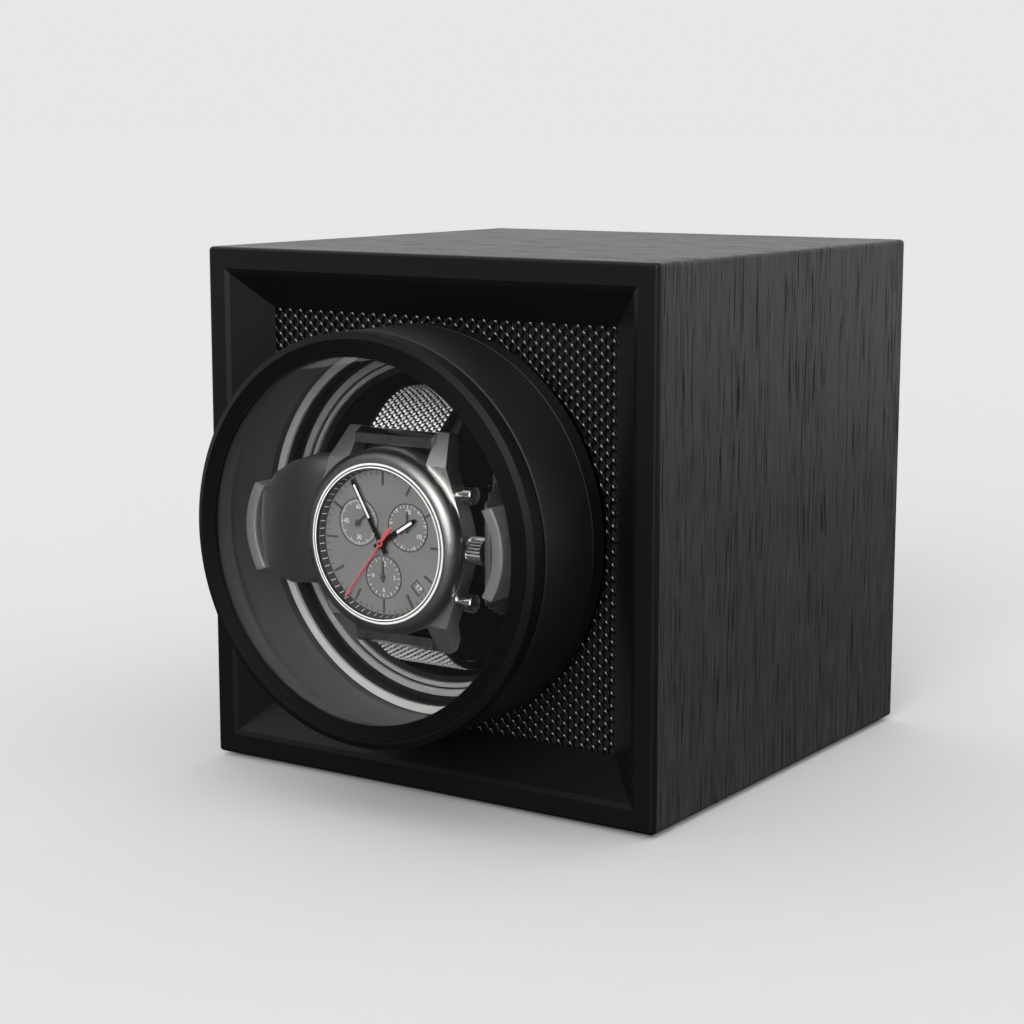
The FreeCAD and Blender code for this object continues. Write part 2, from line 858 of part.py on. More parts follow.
def band_outline(corner, front, front_point=None):
    """Upper half of a closed loop round the cuff as edges, from the front middle to the rear middle."""
    top = watch_z + cuff_half - cuff_corner
    front_centre = at(0, corner_front, top)
    rear_centre = at(0, corner_back, top)
    start = at(0, front, watch_z)
    turn_in = front_centre + V(0, -corner, 0)
    crown_front = front_centre + V(0, 0, corner)
    crown_rear = rear_centre + V(0, 0, corner)
    turn_out = rear_centre + V(0, corner, 0)
    half = corner / math.sqrt(2)
    edges = []
    if front_point is None:
        edges.append(Part.makeLine(start, turn_in))
        edges.append(Part.Arc(turn_in, front_centre + V(0, -half, half), crown_front).toShape())
    else:
        point, tangent, middle = front_point
        edges.append(Part.makeLine(point, tangent))
        edges.append(Part.Arc(tangent, middle, crown_front).toShape())
    edges.append(Part.makeLine(crown_front, crown_rear))
    edges.append(Part.Arc(crown_rear, rear_centre + V(0, half, half), turn_out).toShape())
    edges.append(Part.makeLine(turn_out, turn_out + V(0, 0, watch_z - top)))
    return edges


def mirrored(shape):
    """Copy turned over, top to bottom, about the middle of the watch."""
    return shape.mirror(at(0, 0, watch_z), V(0, 0, 1))


def across(face, width):
    """Solid of a face in the middle plane, spread equally to both sides."""
    face.translate(V(-width / 2, 0, 0))
    return face.extrude(V(width, 0, 0))


def make_cuff():
    edges = band_outline(corner_inner, cuff_front)
    start = edges[0].Vertexes[0].Point
    end = edges[-1].Vertexes[-1].Point
    outline = Part.Wire(Part.__sortEdges__(edges + [Part.makeLine(end, start)]))
    half_saddle = across(Part.Face(outline), saddle_width)
    reach = 2 * drum_radius
    jaw_bottom = watch_z + jaw_rest
    bar_z = watch_z + bar_top
    guides = (cuff_front + guide_inset, corner_back + corner_inner - guide_inset)

    jaw = half_saddle.common(block(-reach, reach, -reach, reach, jaw_bottom, jaw_bottom + reach))
    # The bores end under the jaw's rounded corners, and the pins end where the pressed jaw still clears them.
    reach_out = corner_inner - guide_inset + guide_radius + running_fit
    roof = math.sqrt(corner_inner ** 2 - reach_out ** 2)
    bore_top = watch_z + cuff_half - cuff_corner + roof - jaw_roof
    pin_top = bore_top - jaw_travel - guide_clearance
    for d in guides:
        jaw = jaw.cut(rod_z(guide_radius + running_fit, 0, d, jaw_bottom, bore_top))
    save("cuff_jaw", jaw)

    bar = half_saddle.common(block(-reach, reach, -reach, reach, watch_z, bar_z))
    wing_half = wing_height / 2
    wing_rear = wing_front + wing_thickness
    wings = block(-reach, reach, wing_front, wing_rear, watch_z - wing_half, bar_z)
    wings = wings.common(disc(core_radius, wing_front, wing_rear))
    pins = [rod_z(guide_radius, 0, d, watch_z, pin_top) for d in guides]
    save("cuff_core", joined(bar, mirrored(half_saddle), wings, *pins))

    # A bowed leaf spring between the bar and the jaw.
    middle_d = (guides[0] + guides[1]) / 2
    rise = jaw_rest - bar_top
    outer_arc = Part.Arc(at(0, middle_d - leaf_span / 2, bar_z), at(0, middle_d, bar_z + rise),
                         at(0, middle_d + leaf_span / 2, bar_z)).toShape()
    leaf_inner = leaf_span / 2 - leaf_thickness
    inner_arc = Part.Arc(at(0, middle_d + leaf_inner, bar_z), at(0, middle_d, bar_z + rise - leaf_thickness),
                         at(0, middle_d - leaf_inner, bar_z)).toShape()
    first = Part.makeLine(outer_arc.Vertexes[-1].Point, inner_arc.Vertexes[0].Point)
    last = Part.makeLine(inner_arc.Vertexes[-1].Point, outer_arc.Vertexes[0].Point)
    leaf = Part.Face(Part.Wire(Part.__sortEdges__([outer_arc, first, inner_arc, last])))
    save("jaw_spring", across(leaf, leaf_width))

    # Curved cheeks at both ends run along the wall of the cup, and stand forward as finger tabs.
    tab_front = lens_rear + cheek_front
    cheek = ring(cheek_outer, cheek_inner, tab_front, cheek_rear)
    half = cheek_height / 2
    right = block(0, reach, tab_front, cheek_rear, axis_z - half, axis_z + half)
    left = block(-reach, 0, tab_front, cheek_rear, axis_z - half, axis_z + half)
    save("cuff_cheeks", cheek.common(left), cheek.common(right))

    # Bolsters rise beside the watch and leave room for its crown and pushers.
    seat_x = watch_radius + bolster_watch_gap
    crest_d = tab_front + bolster_top_drop
    crest_x = core_radius - bolster_crest
    foot_x = crest_x - bolster_slope
    seat_d = wing_front - bolster_seat
    profile = [
        (seat_x, wing_front),
        (seat_x, seat_d),
        (foot_x, seat_d),
        (crest_x, crest_d),
        (reach, crest_d),
        (reach, wing_front),
    ]
    half = bolster_height / 2
    limits = block(-reach, reach, crest_d, wing_front, axis_z - half, axis_z + half)
    front_edges = edges_where(limits, lambda point: abs(point.y - front_y - crest_d) < NEAR)
    limits = limits.makeFillet(bolster_round, [edge for edge in front_edges if edge.Length > reach])
    limits = limits.common(disc(core_radius, crest_d, wing_front))
    pockets = (
        (crown_radius, crown_end, 0),
        (pusher_radius, pusher_end, pusher_offset),
        (pusher_radius, pusher_end, -pusher_offset),
    )
    for name, side in (("cuff_bolster_left", -1), ("cuff_bolster_right", 1)):
        points = [at(side * x, d, axis_z - half) for x, d in profile]
        stock = Part.Face(Part.makePolygon(points + points[:1])).extrude(V(0, 0, bolster_height))
        bolster = stock.common(limits)
        for radius, end, rise in pockets:
            pocket = rod_x(radius + bolster_pocket_gap, 0, end + bolster_pocket_gap, stem_d, watch_z + rise)
            bolster = bolster.cut(pocket)
        save(name, bolster)


# Watch

def place_on_dial(distance, clock_degrees):
    """Place on the dial in x and z, at an angle counted clockwise from twelve."""
    angle = math.radians(clock_degrees)
    return distance * math.sin(angle), watch_z + distance * math.cos(angle)


subdials = {
    "seconds": place_on_dial(subdial_distance, seconds_place) + (subdial_radius,),
    "minutes": place_on_dial(subdial_distance, minutes_place) + (subdial_radius,),
    "hours": place_on_dial(subdial_distance, hours_place) + (low_subdial_radius,),
}


def make_watch_case():
    body = ring(watch_radius, bore_radius, bezel_base, middle_rear, z=watch_z)
    shoulder = bezel_base + lug_shoulder
    outline = [
        (shoulder, 0),
        (shoulder, watch_radius - lug_width),
        (shoulder + lug_width, watch_radius + lug_drop),
        (bar_d - lug_drop, lug_tip_z),
        (bar_d + lug_drop, bar_height + lug_drop),
        (bar_d + lug_rise, bar_height - link_face),
        (middle_rear, watch_radius - lug_width),
        (middle_rear, 0),
    ]
    # A lug is a horn: its outer flank runs along a tangent of the round case.
    horn = [
        (lug_inner, 0),
        (lug_inner, lug_tip_z),
        (lug_tip_x, lug_tip_z),
        (tangent_x, tangent_z),
        (tangent_x, 0),
    ]
    lug = slab_x(outline, lug_inner, watch_radius, watch_z)
    lug = lug.common(plate(horn, bezel_base, cuff_front, z=watch_z))
    across_lug = lug.mirror(at(0, 0, watch_z), V(1, 0, 0))
    lugs = [lug, mirrored(lug), across_lug, mirrored(across_lug)]
    body = joined(body, *lugs).cut(disc(bore_radius, bezel_base, back_rear, z=watch_z))
    body = body.cut(rod_x(stem_radius + stem_fit, 0, watch_radius, stem_d, watch_z))
    for z in (watch_z - pusher_offset, watch_z + pusher_offset):
        body = body.cut(rod_x(pusher_stem_radius + stem_fit, 0, watch_radius, stem_d, z))
    save("watch_case", body)

    # The bezel is domed between its short upright side and its polished rim.
    side_top = at(watch_radius, bezel_base - bezel_side, watch_z)
    rim_edge = at(bezel_top_radius, bezel_top, watch_z)
    chord = rim_edge - side_top
    swell = V(-chord.y, 0, 0) + V(0, chord.x, 0)
    crest = (side_top + rim_edge) * 0.5 + swell.normalize() * bezel_swell
    straight = [rim_edge, at(bore_radius, bezel_top, watch_z), at(bore_radius, bezel_base, watch_z),
                at(watch_radius, bezel_base, watch_z), side_top]
    edges = [Part.makeLine(first, last) for first, last in zip(straight, straight[1:])]
    edges.append(Part.Arc(side_top, crest, rim_edge).toShape())
    section = Part.Face(Part.Wire(edges))
    save("watch_bezel", section.revolve(at(0, 0, watch_z), V(0, 1, 0), TURN))
    fit_radius = bore_radius - bore_fit
    save("watch_crystal", disc(fit_radius, crystal_top, crystal_base, z=watch_z))
    flange_low = fit_radius - flange_width
    save("dial_flange", turned([
        (fit_radius, crystal_base),
        (fit_radius, dial_top),
        (flange_low, dial_top),
        (fit_radius - flange_width / 2, crystal_base),
    ], z=watch_z))
    back_inner = back_rear - back_wall
    save("case_back", turned([
        (0, back_inner),
        (fit_radius - back_rim, back_inner),
        (fit_radius - back_rim, movement_rear),
        (fit_radius, movement_rear),
        (fit_radius, middle_rear),
        (fit_radius + back_flange, middle_rear),
        (fit_radius + back_flange, back_rear - edge_chamfer),
        (fit_radius + back_flange - edge_chamfer, back_rear),
        (0, back_rear),
    ], z=watch_z))


def hand_plane(level):
    """Front face of a hand, the given number of steps above the dial."""
    return dial_top - marker_height - hand_step * level


def make_dial():
    fit_radius = bore_radius - bore_fit
    dial = disc(fit_radius, dial_top, dial_base, z=watch_z)
    dial = dial.cut(disc(arbor_radii[0] + hand_fit, dial_top, dial_base, z=watch_z))
    for x, z, radius in subdials.values():
        dial = dial.cut(disc(sub_arbor_radius + hand_fit, dial_top, dial_base, x, z))
    x, z = place_on_dial(date_distance, date_place)
    window = block(x - date_width / 2, x + date_width / 2, dial_top, dial_top + dial_thickness / 2,
                   z - date_height / 2, z + date_height / 2)
    save("watch_dial", dial.cut(turn_about_depth(window, date_place - TURN / 4, x, z)))

    face = dial_top - marker_height
    half = marker_width / 2
    baton = block(-half, half, face, dial_top, watch_z + marker_inner, watch_z + marker_outer)
    step = TURN / marker_count
    markers = [turn_about_depth(baton, step * index, z=watch_z) for index in range(marker_count)]
    for x, z, radius in subdials.values():
        markers.append(ring(radius, radius - subdial_line, face, dial_top, x, z))
    save("dial_markers", *markers)


def make_movement():
    body = disc(bore_radius - back_rim, dial_base, movement_rear, z=watch_z)
    stem_end = bore_radius - stem_depth - stem_fit
    body = body.cut(rod_x(stem_radius + stem_fit, stem_end, watch_radius, stem_d, watch_z))
    pusher_seat = pusher_wall - stem_depth - pusher_travel - stem_fit
    for z in (watch_z - pusher_offset, watch_z + pusher_offset):
        body = body.cut(rod_x(pusher_stem_radius + stem_fit, pusher_seat, watch_radius, stem_d, z))
    arbors = []
    for level, radius in zip((hour_level, minute_level, chrono_level), arbor_radii):
        arbors.append(disc(radius, hand_plane(level), dial_base, z=watch_z))
    for x, z, radius in subdials.values():
        arbors.append(disc(sub_arbor_radius, hand_plane(counter_level), dial_base, x, z))
    rotor_rear = movement_rear + rotor_gap + rotor_thickness
    arbors.append(disc(rotor_pin_radius, movement_rear, rotor_rear, z=watch_z))
    save("watch_movement", joined(body, *arbors))
    weight = disc(rotor_radius, movement_rear + rotor_gap, rotor_rear, z=watch_z)
    lower = block(-rotor_radius, rotor_radius, movement_rear, rotor_rear, watch_z - rotor_radius, watch_z)
    hub = disc(rotor_hub_radius, movement_rear + rotor_gap, rotor_rear, z=watch_z)
    rotor = joined(weight.common(lower), hub)
    save("winding_rotor", rotor.cut(disc(rotor_pin_radius + hand_fit, movement_rear, rotor_rear, z=watch_z)))


def hand(name, level, bore, length, width, tail, clock_degrees, x=0.0, z=watch_z):
    """Flat hand with a round boss, pointing at twelve and then turned to its place."""
    face = hand_plane(level)
    half = width / 2
    tip = half * hand_tip
    shoulder = length - width
    right = [(half, -tail), (half, shoulder), (tip, length)]
    left = [(-px, pz) for px, pz in reversed(right)]
    rear = face + hand_thickness
    blade = plate(right + left, face, rear, x, z)
    boss = disc(max(width, bore + hand_boss), face, rear, x, z)
    body = joined(blade, boss).cut(disc(bore, face, rear, x, z))
    save(name, turn_about_depth(body, clock_degrees, x, z))


def make_hands():
    hour_bore, minute_bore, chrono_bore = [radius + hand_fit for radius in arbor_radii]
    hand("hour_hand", hour_level, hour_bore, hour_hand_length, hour_hand_width, hour_hand_tail,
         hour_hand_angle)
    hand("minute_hand", minute_level, minute_bore, minute_hand_length, minute_hand_width,
         minute_hand_tail, minute_hand_angle)
    hand("chrono_hand", chrono_level, chrono_bore, chrono_hand_length, chrono_hand_width,
         chrono_hand_tail, chrono_hand_angle)
    counters = {
        "seconds": ("seconds_hand", seconds_hand_angle),
        "minutes": ("minute_counter_hand", 0),
        "hours": ("hour_counter_hand", 0),
    }
    for key, (name, angle) in counters.items():
        x, z, radius = subdials[key]
        sub_bore = sub_arbor_radius + hand_fit
        hand(name, counter_level, sub_bore, subhand_length, subhand_width, subhand_tail, angle, x, z)


def make_crown():
    start = watch_radius + crown_gap
    outline = [(stem_d + u, v) for u, v in fluted(crown_radius, crown_flutes, crown_flute_depth)]
    head = slab_x(outline, start, crown_end, watch_z)
    stem = rod_x(stem_radius, bore_radius - stem_depth, start, stem_d, watch_z)
    save("crown", joined(head, stem))
    for name, z in (("pusher_upper", watch_z + pusher_offset), ("pusher_lower", watch_z - pusher_offset)):
        cap = rod_x(pusher_radius, pusher_cap, pusher_end, stem_d, z)
        rim = edges_where(cap, lambda point: point.x > pusher_end - NEAR)
        cap = cap.makeFillet(pusher_round, rim)
        save(name, joined(cap, rod_x(pusher_stem_radius, pusher_wall - stem_depth, pusher_cap, stem_d, z)))


def make_strap():
    link_foot = watch_radius - bar_height + lug_gap
    link = slab_x([
        (bar_d - link_length, link_foot),
        (bar_d - link_length, link_nose),
        (bar_d - lug_drop, link_rise),
        (bar_d + link_nose, link_face),
        (bar_d + link_nose, -link_face),
        (bar_d - lug_drop, link_foot),
    ], -lug_inner + link_gap, lug_inner - link_gap, watch_z + bar_height)
    save("strap_links", link, mirrored(link))

    # The bracelet leaves the link along a tangent of the front corner of its loop.
    top = watch_z + cuff_half - cuff_corner
    centre = at(0, corner_front, top)
    nose = at(0, bar_d + link_nose, watch_z + bar_height)
    middle_corner = cuff_corner - strap_thickness / 2
    away = nose - centre
    lean = math.acos(min(1.0, middle_corner / away.Length))
    angle = math.atan2(away.z, away.y) - lean
    normal = V(0, math.cos(angle), math.sin(angle))
    start = nose + V(0, math.sin(angle), -math.cos(angle)) * (strap_thickness / 2 + strap_lead)
    half_angle = (angle + math.pi / 2) / 2
    bisector = V(0, math.cos(half_angle), math.sin(half_angle))
    wires = []
    for corner, side in ((cuff_corner, 0.5), (cuff_corner - strap_thickness, -0.5)):
        point = start + normal * (side * strap_thickness)
        front_point = (point, centre + normal * corner, centre + bisector * corner)
        wires.append(band_outline(corner, 0, front_point))
    outer, inner = wires
    ends = [
        Part.makeLine(outer[0].Vertexes[0].Point, inner[0].Vertexes[0].Point),
        Part.makeLine(outer[-1].Vertexes[-1].Point, inner[-1].Vertexes[-1].Point),
    ]
    face = Part.Face(Part.Wire(Part.__sortEdges__(outer + inner + ends)))
    upper = across(face, strap_width)
    save("watch_strap", joined(upper, mirrored(upper)))


os.makedirs("parts", exist_ok=True)
make_boards()
make_front_frame()
make_front_panel()
make_feet()
make_chassis()
make_bearing()
make_gears()
make_spindle()
make_motor()
make_rear()
make_drum()
make_cover()
make_cuff()
make_watch_case()
make_dial()
make_movement()
make_hands()
make_crown()
make_strap()
print("case", round(2 * case_half, 2), "wide,", round(case_depth, 2), "deep, front at y", round(front_y, 3))
print("axis height", axis_z, "watch height", watch_z, "cup inner radius", cup_inner)
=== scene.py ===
# %% [markdown]
# Watch winder box. This lesson dresses a finished CAD model of a small black cube that keeps a watch wound.
# The CAD parts carry the true sizes and the joints. Blender adds what the eye looks for: stained veneer,
# woven wire, the bracelet's links, the print on the dial, soft pads, glass and light. Every piece is in
# metres, in the CAD's frame.

# %% Load the frame
import bmesh
import bpy
import json
import math
from mathutils import Matrix, Vector


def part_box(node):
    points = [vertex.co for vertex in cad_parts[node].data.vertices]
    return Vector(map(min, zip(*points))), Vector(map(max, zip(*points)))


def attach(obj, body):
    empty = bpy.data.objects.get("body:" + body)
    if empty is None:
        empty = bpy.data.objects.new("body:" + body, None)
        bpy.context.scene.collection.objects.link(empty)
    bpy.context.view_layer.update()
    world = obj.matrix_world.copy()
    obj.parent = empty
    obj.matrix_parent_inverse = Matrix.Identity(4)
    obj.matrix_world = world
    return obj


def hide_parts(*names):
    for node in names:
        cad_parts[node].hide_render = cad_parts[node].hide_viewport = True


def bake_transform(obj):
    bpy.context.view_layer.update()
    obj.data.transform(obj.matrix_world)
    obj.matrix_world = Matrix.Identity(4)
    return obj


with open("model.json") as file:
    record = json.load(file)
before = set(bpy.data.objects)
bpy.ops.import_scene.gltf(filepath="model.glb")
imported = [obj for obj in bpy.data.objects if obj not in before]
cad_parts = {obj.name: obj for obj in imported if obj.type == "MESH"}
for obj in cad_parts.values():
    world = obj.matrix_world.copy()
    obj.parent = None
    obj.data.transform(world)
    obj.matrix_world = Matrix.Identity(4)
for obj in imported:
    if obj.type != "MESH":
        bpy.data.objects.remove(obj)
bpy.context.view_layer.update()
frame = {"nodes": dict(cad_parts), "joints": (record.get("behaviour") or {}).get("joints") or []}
nodes = frame["nodes"]

# %% [markdown]
# A few places are needed again and again: the front face of the case, the axis that the drum turns on and
# the middle of the watch. They are read from the frame, so that the dressing follows the CAD model if that
# is made in another size.

# %% Places in the frame
MM = 0.001
joint_at = {joint["name"]: Vector(joint["pos_m"]) for joint in frame["joints"] if "pos_m" in joint}
front_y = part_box("front_frame")[0].y
drum_axis = joint_at["drum_spin"]
watch = joint_at["minute_hand_turn"]
dial_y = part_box("watch_dial")[0].y
lens_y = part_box("cover_lens")[0].y
print("front at", round(front_y, 4), "drum axis at", round(drum_axis.z, 4), "watch at", round(watch.z, 4))

# %% [markdown]
# Modelling by operators works on whatever is selected, and the loaded CAD nodes start out selected. These
# small helpers clear the selection, pick vertices, edges or faces by their place, copy a finished shape
# with a mesh of its own, join copies, and apply modifiers. They stand in for the mouse.

# %% Helpers that stand in for the mouse
def only(piece):
    """Leave edit mode, and make this piece the only selected one."""
    if bpy.context.object and bpy.context.object.mode != "OBJECT":
        bpy.ops.object.mode_set(mode="OBJECT")
    bpy.ops.object.select_all(action="DESELECT")
    if piece:
        piece.select_set(True)
        bpy.context.view_layer.objects.active = piece
    return piece


def edit(piece):
    """Open a piece in edit mode with everything selected."""
    only(piece)
    bpy.ops.object.mode_set(mode="EDIT")
    bpy.ops.mesh.select_all(action="SELECT")


def pick(kind, test):
    """In edit mode, select the verts, edges or faces whose middle passes the test."""
    bpy.ops.mesh.select_mode(type=kind[:-1].upper())
    bpy.ops.mesh.select_all(action="DESELECT")
    mesh = bpy.context.object.data
    shape = bmesh.from_edit_mesh(mesh)
    for item in getattr(shape, kind):
        corners = [item] if kind == "verts" else item.verts
        if test(sum((corner.co for corner in corners), Vector()) / len(corners)):
            item.select_set(True)
    shape.select_flush_mode()
    bmesh.update_edit_mesh(mesh)


def copy_of(piece, move=Matrix()):
    """A copy with its own mesh, moved by a matrix."""
    twin = piece.copy()
    twin.data = piece.data.copy()
    twin.matrix_world = move @ piece.matrix_world
    bpy.context.collection.objects.link(twin)
    return twin


def joined(pieces):
    """Join several pieces into the first of them."""
    only(pieces[0])
    for piece in pieces:
        piece.select_set(True)
    bpy.ops.object.join()
    return bpy.context.object


def with_modifier(piece, kind, **settings):
    """Add a modifier, set it and apply it."""
    only(piece)
    modifier = piece.modifiers.new(kind.lower(), kind)
    for name, value in settings.items():
        setattr(modifier, name, value)
    bpy.ops.object.modifier_apply(modifier=modifier.name)
    return piece


def placed(piece):
    """Put the place, turn and scale of a piece into its mesh."""
    only(piece)
    bpy.ops.object.transform_apply(location=True, rotation=True, scale=True)
    return piece


print("helpers for whole pieces ready")

# %% Helpers for edit mode
def merge(gap_mm=0.001):
    """In edit mode, merge all points that lie closer than the gap."""
    bpy.ops.mesh.select_all(action="SELECT")
    bpy.ops.mesh.remove_doubles(threshold=gap_mm * MM)


def faces_out():
    """In edit mode, turn all faces outwards, and leave everything selected."""
    bpy.ops.mesh.select_all(action="SELECT")
    bpy.ops.mesh.normals_make_consistent(inside=False)


def forwards(depth):
    """In edit mode, extrude what is selected forwards, and leave everything selected."""
    bpy.ops.mesh.extrude_region_move(TRANSFORM_OT_translate={"value": (0, -depth, 0)})
    bpy.ops.mesh.select_all(action="SELECT")


def turned(angle, pivot):
    """In edit mode, turn what is selected round an axis along depth."""
    bpy.ops.transform.rotate(value=-angle, orient_axis="Y", center_override=pivot)


def plate(width, height, place, tilt=math.pi / 2):
    """A rectangle, open in edit mode. It faces the front, unless it gets another tilt."""
    only(None)
    bpy.ops.mesh.primitive_plane_add(size=1, location=place, rotation=(tilt, 0, 0))
    flat = bpy.context.object
    flat.scale = (width, height, 1)
    edit(placed(flat))
    return flat


def merged_copy(name):
    """A copy of a CAD node, free of its body, with its loose triangles merged."""
    twin = copy_of(nodes[name])
    twin.parent = None
    twin.matrix_world = Matrix()
    edit(twin)
    merge()
    return only(twin)


print("helpers for edit mode ready")

# %% [markdown]
# A finished piece gets a name, a finish and a body to ride on. Edges
# that turn by more than the given angle stay crisp, and all others are shaded smooth.

# %% Finishing a piece
def settle(piece, name, body, finish, stands_for=(), crisp=35):
    """Name a finished piece, give it its finish and let it ride on a CAD body, if it is given one."""
    placed(piece)
    piece.name = name
    piece.data.name = name
    piece.data.materials.clear()
    piece.data.materials.append(finish)
    bpy.ops.object.shade_smooth_by_angle(angle=math.radians(crisp))
    if body:
        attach(piece, body)
    if stands_for:
        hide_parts(*stands_for)
    print(name, "has", len(piece.data.polygons), "faces and rides on", body or "two bodies")
    return piece


# %% [markdown]
# Colours are written as sRGB hex values, as a paint chart gives them, and turned to the linear values that
# the renderer works with. One helper adds a node, sets it and links it. Three short ones stand for the
# nodes that come up most: a ramp from one range to another, a mix of two colours and a step of arithmetic.
# The last starts a material with fixed values on its shader's own sockets.

# %% Colour and node helpers
def linear(code):
    """Linear colour of an sRGB hex value."""
    parts = [int(code[place:place + 2], 16) / 255 for place in (1, 3, 5)]
    return [part / 12.92 if part <= 0.04045 else ((part + 0.055) / 1.055) ** 2.4 for part in parts] + [1.0]


def node(tree, kind, sockets, **settings):
    """Add a shader node, set its properties, and set or link its sockets."""
    made = tree.nodes.new("ShaderNode" + kind)
    for name, value in settings.items():
        setattr(made, name, value)
    for socket, value in sockets.items():
        if isinstance(value, bpy.types.NodeSocket):
            tree.links.new(value, made.inputs[socket])
        else:
            made.inputs[socket].default_value = value
    return made


def ramp(tree, value, start, end, low=0.0, high=1.0, **settings):
    """Map a value from one range to another. Past the ends it stays level."""
    sockets = {"Value": value, "From Min": start, "From Max": end, "To Min": low, "To Max": high}
    return node(tree, "MapRange", sockets, **settings).outputs[0]


def mixed(tree, factor, first, second):
    """The first colour where the factor is 0, and the second where it is 1."""
    return node(tree, "Mix", {0: factor, 6: first, 7: second}, data_type="RGBA").outputs[2]


def maths(tree, operation, *values):
    """One step of arithmetic."""
    return node(tree, "Math", dict(enumerate(values)), operation=operation).outputs[0]


def start_finish(name, sockets):
    """A new material and its main shader, with fixed values on the shader's own sockets."""
    material = bpy.data.materials.new(name)
    material.use_nodes = True
    shader = material.node_tree.nodes["Principled BSDF"]
    for socket, value in sockets.items():
        shader.inputs[socket].default_value = value
    return material, material.node_tree, shader


print("a lacquer black in linear colour:", [round(part, 4) for part in linear("#141413")])

# %% [markdown]
# Most finishes here are one colour that varies a little, with a fine grain in gloss and height: moulded
# plastic, rubber, plated or brushed metal. The grain has a size in millimetres, one for all axes or one for
# each. Turned and brushed rounds need a grain that runs round a centre, so the pattern can also be laid out
# by direction and distance from a centre, which has no seam. The height of the grain goes to a Bump node in
# millimetres. A test on the distance from an axis can repaint a part of a round piece.

# %% Places round an axis
def off_axis(tree, centre):
    """The way from an axis along depth to the place, and its length."""
    place = node(tree, "TexCoord", {}).outputs["Object"]
    apart = node(tree, "VectorMath", {0: place, 1: centre}, operation="SUBTRACT").outputs[0]
    flat = node(tree, "VectorMath", {0: apart, 1: (1, 0, 1)}, operation="MULTIPLY").outputs[0]
    return flat, node(tree, "VectorMath", {0: flat}, operation="LENGTH").outputs["Value"]


def beyond(tree, centre, radius_mm, blend_mm=0.1):
    """A factor that goes from 0 to 1 at a distance from an axis along depth."""
    return ramp(tree, off_axis(tree, centre)[1], radius_mm * MM, (radius_mm + blend_mm) * MM)


def repaint(material, factor, colour, where=0):
    """Give a finish another colour where the factor is 0, or where it is 1."""
    tree = material.node_tree
    base = tree.nodes["Principled BSDF"].inputs["Base Color"]
    pair = [linear(colour), base.links[0].from_socket]
    tree.links.new(mixed(tree, factor, pair[where], pair[1 - where]), base)


print("drum axis at", [round(part, 4) for part in drum_axis])

# %% A finish with a grain
def grain_coordinates(tree, grain_mm, centre, reach_mm):
    """Object coordinates in grains. Round a centre, the sizes along the arc and outwards count."""
    sizes = grain_mm if isinstance(grain_mm, tuple) else (grain_mm,) * 3
    if centre is None:
        place = node(tree, "TexCoord", {}).outputs["Object"]
        scale = [1 / (size * MM) for size in sizes]
        return node(tree, "VectorMath", {0: place, 1: scale}, operation="MULTIPLY").outputs[0]
    arc, outward = sizes[0], sizes[2]
    flat, distance = off_axis(tree, centre)
    heading = node(tree, "VectorMath", {0: flat}, operation="NORMALIZE").outputs[0]
    round_part = node(tree, "VectorMath", {0: heading, "Scale": reach_mm / arc}, operation="SCALE").outputs[0]
    out_part = maths(tree, "MULTIPLY", distance, 1 / (outward * MM))
    out_vector = node(tree, "CombineXYZ", {"Y": out_part}).outputs[0]
    return node(tree, "VectorMath", {0: round_part, 1: out_vector}, operation="ADD").outputs[0]


def grain_noise(tree, coordinates):
    """A plain noise with one grain to each unit of its coordinates."""
    return node(tree, "TexNoise", {"Vector": coordinates, "Scale": 1.0, "Detail": 2.0}).outputs["Fac"]


def grained(name, colours, gloss, grain_mm, bump_mm=0.0, centre=None, reach_mm=1.0, sockets=None):
    """A finish between two colours and two roughnesses, with a fine grain of the given size."""
    material, tree, shader = start_finish(name, sockets or {})
    grain = grain_noise(tree, grain_coordinates(tree, grain_mm, centre, reach_mm))
    shade = mixed(tree, grain, linear(colours[0]), linear(colours[1]))
    tree.links.new(shade, shader.inputs["Base Color"])
    tree.links.new(ramp(tree, grain, 0.3, 0.7, *gloss), shader.inputs["Roughness"])
    if bump_mm:
        relief = node(tree, "Bump", {"Height": grain, "Strength": 1.0, "Distance": bump_mm * MM})
        tree.links.new(relief.outputs[0], shader.inputs["Normal"])
    return material


METAL = {"Metallic": 1.0}
finishes = {}
print("grain helpers ready")

# %% [markdown]
# The case is veneered with an open-pored wood such as ash, stained black. Wire brushing opens the pores, so
# they show as thin dark furrows along the grain, half a millimetre wide and up to 15 mm long. Most come
# from a noise that is drawn out along the grain and kept only where it is strong, which breaks each row
# into dashes. Single ones come from a stretched Voronoi pattern, one furrow to a cell, in two sizes. A
# slower noise crowds them into bands, as growth rings do, and another bends the rows a little. The pattern
# is laid flat on each board, by its place along and across the grain, because a cut through solid cells
# would show only some of them. Upright boards have upright grain, and the top has its grain along the front
# edge. The top keeps more gloss, because it is rubbed down and waxed most.

